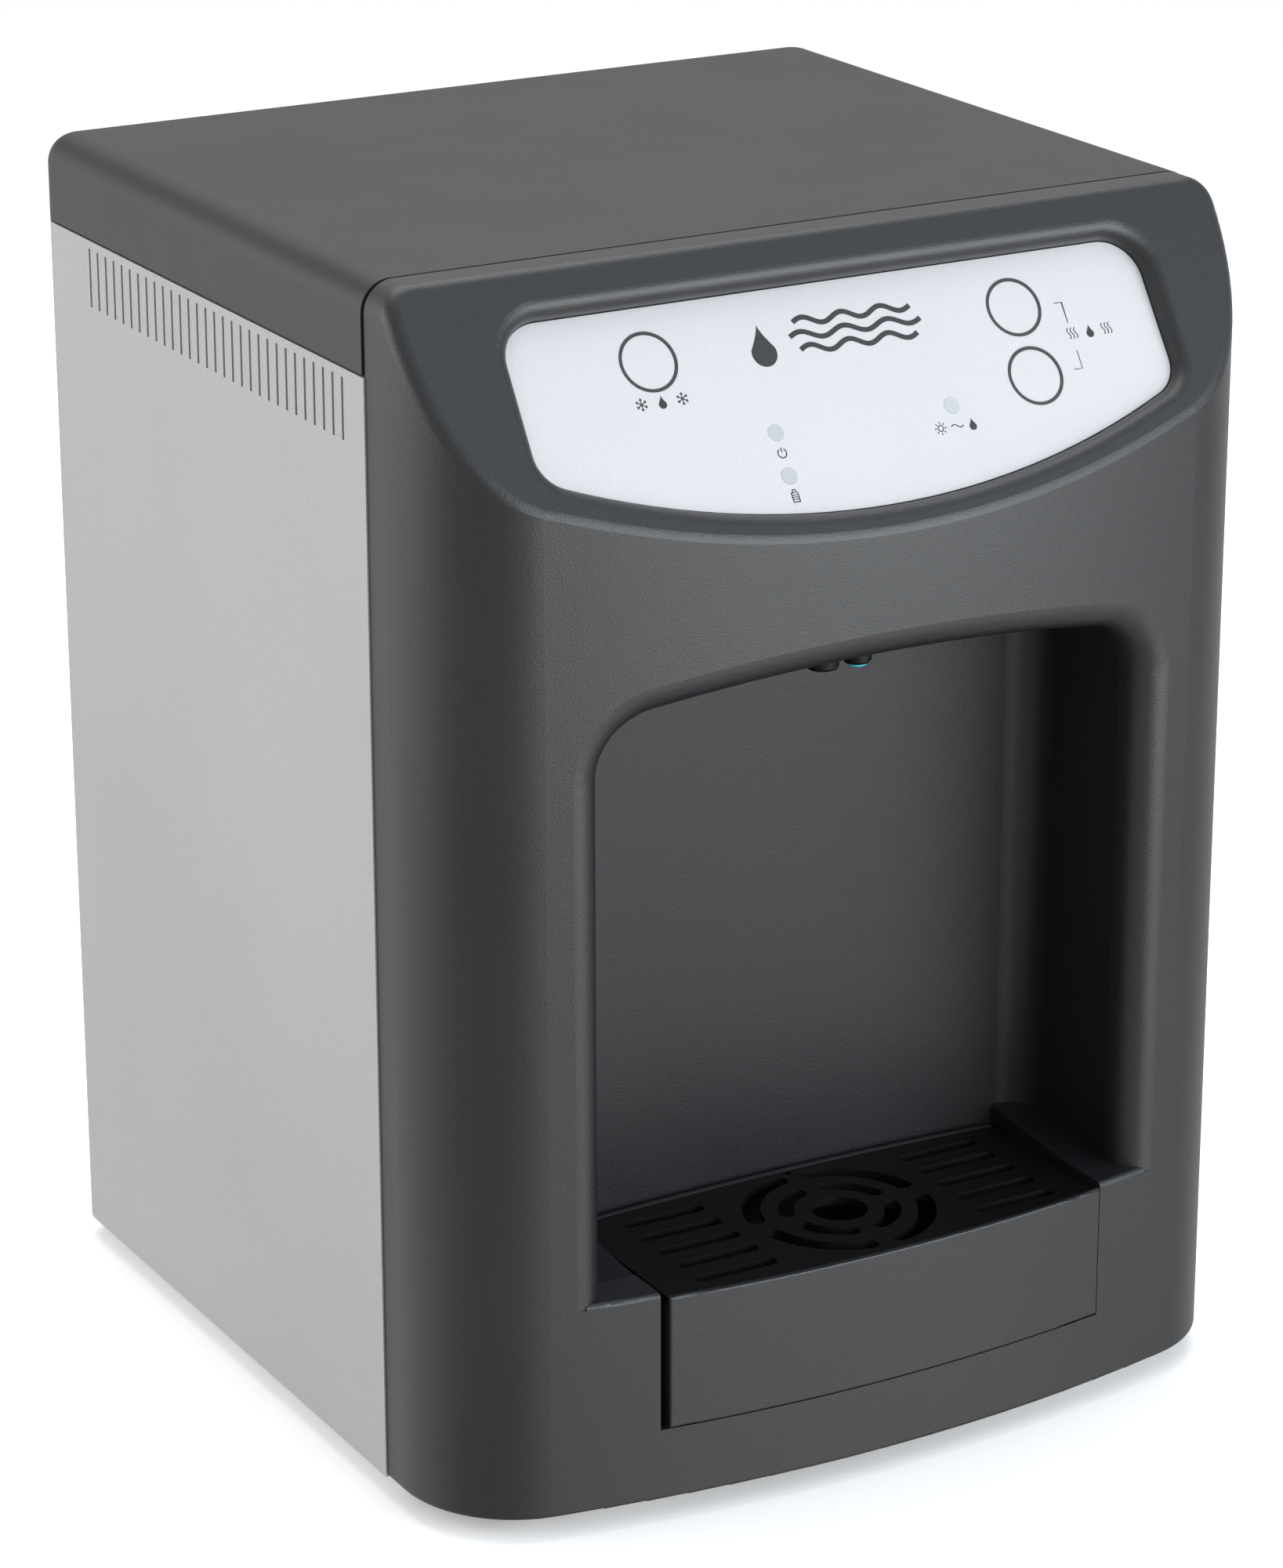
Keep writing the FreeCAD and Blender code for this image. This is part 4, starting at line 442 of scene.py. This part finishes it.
steam = [s for x in (-1.3, 0, 1.3) for s in moved(wave_line(3.8, 0.9, 1, 0.36, True), x, 0)]
middle = (ON_FACE["hot_release_button"] + ON_FACE["hot_water_button"]) / 2
mark("mark_cold", moved(snow_shape(4.2, 0.36), -7.2, 0) + moved(drop_shape(4.4), 0, -0.9)
     + moved(snow_shape(4.2, 0.36), 7.2, 0), on_face(ON_FACE["cold_water_button"], 0.5, -13.2))
mark("mark_hot", moved(steam, -6.6, 0) + moved(drop_shape(4.4), 0, -0.9) + moved(steam, 6.6, 0),
     on_face(middle, 25.0, 0.3))
mark("bracket_high", [([(15.0, -0.7), (18.0, -0.7), (18.0, -7.9)], 0.3)],
     on_face(ON_FACE["hot_release_button"]))
mark("bracket_low", [([(18.0, 6.2), (18.0, 0.0), (15.0, 0.0)], 0.3)],
     on_face(ON_FACE["hot_water_button"]))
mark("mark_power", power_shape(3.6, 0.4), on_face(left_lenses[0], 0.0, -6.8))
mark("mark_filter", filter_shape(4.0, 0.34), on_face(left_lenses[1], 0.0, -6.6))
mark("mark_lamp", moved(sun_shape(4.4, 0.36), -6.4, 0) + moved(wave_line(4.6, 1.1, 1, 0.36), -0.2, 0)
     + moved(drop_shape(4.2), 5.4, -0.9), on_face(lamp_lens, 0.0, -6.9))
emblem = moved(drop_shape(14.0), -27.5, -4.0)
for step in (-1, 0, 1):
    emblem += moved(wave_line(48.0 - 5 * abs(step), 2.6, 3, 1.7), 7.0, step * 4.6)
mark("emblem", emblem, on_face((ON_FACE["cold_water_button"] + ON_FACE["hot_release_button"]) / 2, 1.0, 1.2))


# --- Stage, light and camera ------------------------------------------------------------------

FLOOR_HALF = 30.0
floor_mesh = bpy.data.meshes.new("floor")
build = bmesh.new()
bmesh.ops.create_grid(build, x_segments=1, y_segments=1, size=FLOOR_HALF)
build.to_mesh(floor_mesh)
floor = bpy.data.objects.new("floor", floor_mesh)
bpy.context.scene.collection.objects.link(floor)
floor_look = Graph("floor")
floor_look.link(floor_look.ramp(floor_look.noise(3.0), (0.3, (0.9, 0.9, 0.9)), (0.7, (0.92, 0.92, 0.92))),
                floor_look.shader.inputs["Base Color"])
floor_look.set(Roughness=0.9, Emission_Color=(1.0, 1.0, 1.0, 1.0), Emission_Strength=0.22)
floor_mesh.materials.append(floor_look.material)
floor.visible_glossy = False

# a studio room: even overhead, darker below, with a few wide glows that the gloss picks up
ROOM_BELOW, ROOM_ABOVE = 0.46, 0.62
NEUTRAL = (1.0, 1.0, 1.0, 1.0)
COOL = (0.86, 0.96, 1.10, 1.0)
VISOR_SKY = (0.515, -0.568, 0.642)
GLOWS = (          # axis, where it starts and is full as a cosine, strength
    ((0.40, -0.86, -0.305), 0.80, 0.96, 1.15),
    ((-0.66, 0.66, -0.33), 0.60, 0.94, 0.50),
    ((0.90, 0.30, -0.30), 0.80, 0.97, 0.25),
    (VISOR_SKY, 0.84, 0.97, 0.49),
)
world = bpy.data.worlds.new("studio")
world.use_nodes = True
room = world.node_tree
direction = room.nodes.new("ShaderNodeTexCoord").outputs["Generated"]


def glow(axis, start, end, low, high):
    """A level that changes from low to high as the direction closes on an axis."""
    dot = room.nodes.new("ShaderNodeVectorMath")
    dot.operation = "DOT_PRODUCT"
    room.links.new(direction, dot.inputs[0])
    dot.inputs[1].default_value = Vector(axis).normalized()
    level = room.nodes.new("ShaderNodeMapRange")
    level.interpolation_type = "SMOOTHSTEP"
    for key, number in (("From Min", start), ("From Max", end), ("To Min", low), ("To Max", high)):
        level.inputs[key].default_value = number
    room.links.new(dot.outputs["Value"], level.inputs["Value"])
    return level.outputs["Result"]


total = glow((0.0, 0.0, 1.0), -0.3, 0.1, ROOM_BELOW, ROOM_ABOVE)
for axis, start, end, strength in GLOWS:
    add = room.nodes.new("ShaderNodeMath")
    room.links.new(total, add.inputs[0])
    room.links.new(glow(axis, start, end, 0.0, strength), add.inputs[1])
    total = add.outputs[0]
cool = room.nodes.new("ShaderNodeValToRGB")
cool.color_ramp.elements[0].color = NEUTRAL
cool.color_ramp.elements[1].color = COOL
room.links.new(glow(VISOR_SKY, 0.70, 0.95, 0.0, 1.0), cool.inputs["Fac"])
room.links.new(cool.outputs["Color"], room.nodes["Background"].inputs["Color"])
room.links.new(total, room.nodes["Background"].inputs["Strength"])
bpy.context.scene.world = world


def area_light(name, place, target, size, power, colour=(1.0, 1.0, 1.0), reflected=True):
    """A soft box aimed at a point, hidden from the camera and, if need be, from reflections."""
    data = bpy.data.lights.new(name, "AREA")
    data.shape = "RECTANGLE"
    data.size, data.size_y = size
    data.energy = power
    data.color = colour
    lamp = bpy.data.objects.new(name, data)
    lamp.location = place
    aim = Vector(target) - Vector(place)
    lamp.rotation_euler = aim.to_track_quat("-Z", "Y").to_euler()
    lamp.visible_camera = False
    lamp.visible_glossy = reflected
    bpy.context.scene.collection.objects.link(lamp)


area_light("overhead", (0.2, 0.5, 2.0), (0, 0, 0.2), (1.8, 1.8), 26)
area_light("front_right", (0.55, -1.38, 0.42), (0, -0.15, 0.25), (1.25, 0.85), 19, (0.92, 0.97, 1.0))
area_light("left", (-1.7, 0.65, 0.62), (0, 0, 0.3), (1.6, 1.2), 15, (1.0, 1.0, 0.96))
area_light("upper_left", (-1.31, -1.13, 1.5), (0, 0, 0.3), (0.8, 0.8), 5, (0.95, 0.98, 1.0),
           reflected=False)

CAMERA_PLACE = (-0.8116, -1.4116, 0.7773)
AZIMUTH, ELEVATION, ROLL = -29.754, 19.742, -0.099
LENS, SENSOR = 115.92, 36.0

camera_data = bpy.data.cameras.new("camera")
camera_data.sensor_width = SENSOR
camera_data.lens = LENS
camera_data.clip_start, camera_data.clip_end = 0.05, 50.0
camera = bpy.data.objects.new("camera", camera_data)
azimuth, elevation, roll = (math.radians(a) for a in (AZIMUTH, ELEVATION, ROLL))
back = Vector((math.sin(azimuth) * math.cos(elevation), -math.cos(azimuth) * math.cos(elevation),
               math.sin(elevation)))
camera.location = CAMERA_PLACE
turn = (-back).to_track_quat("-Z", "Y").to_matrix() @ Matrix.Rotation(roll, 3, "Z")
camera.rotation_euler = turn.to_euler()
bpy.context.scene.collection.objects.link(camera)
bpy.context.scene.camera = camera
bpy.context.scene.view_settings.view_transform = "Standard"
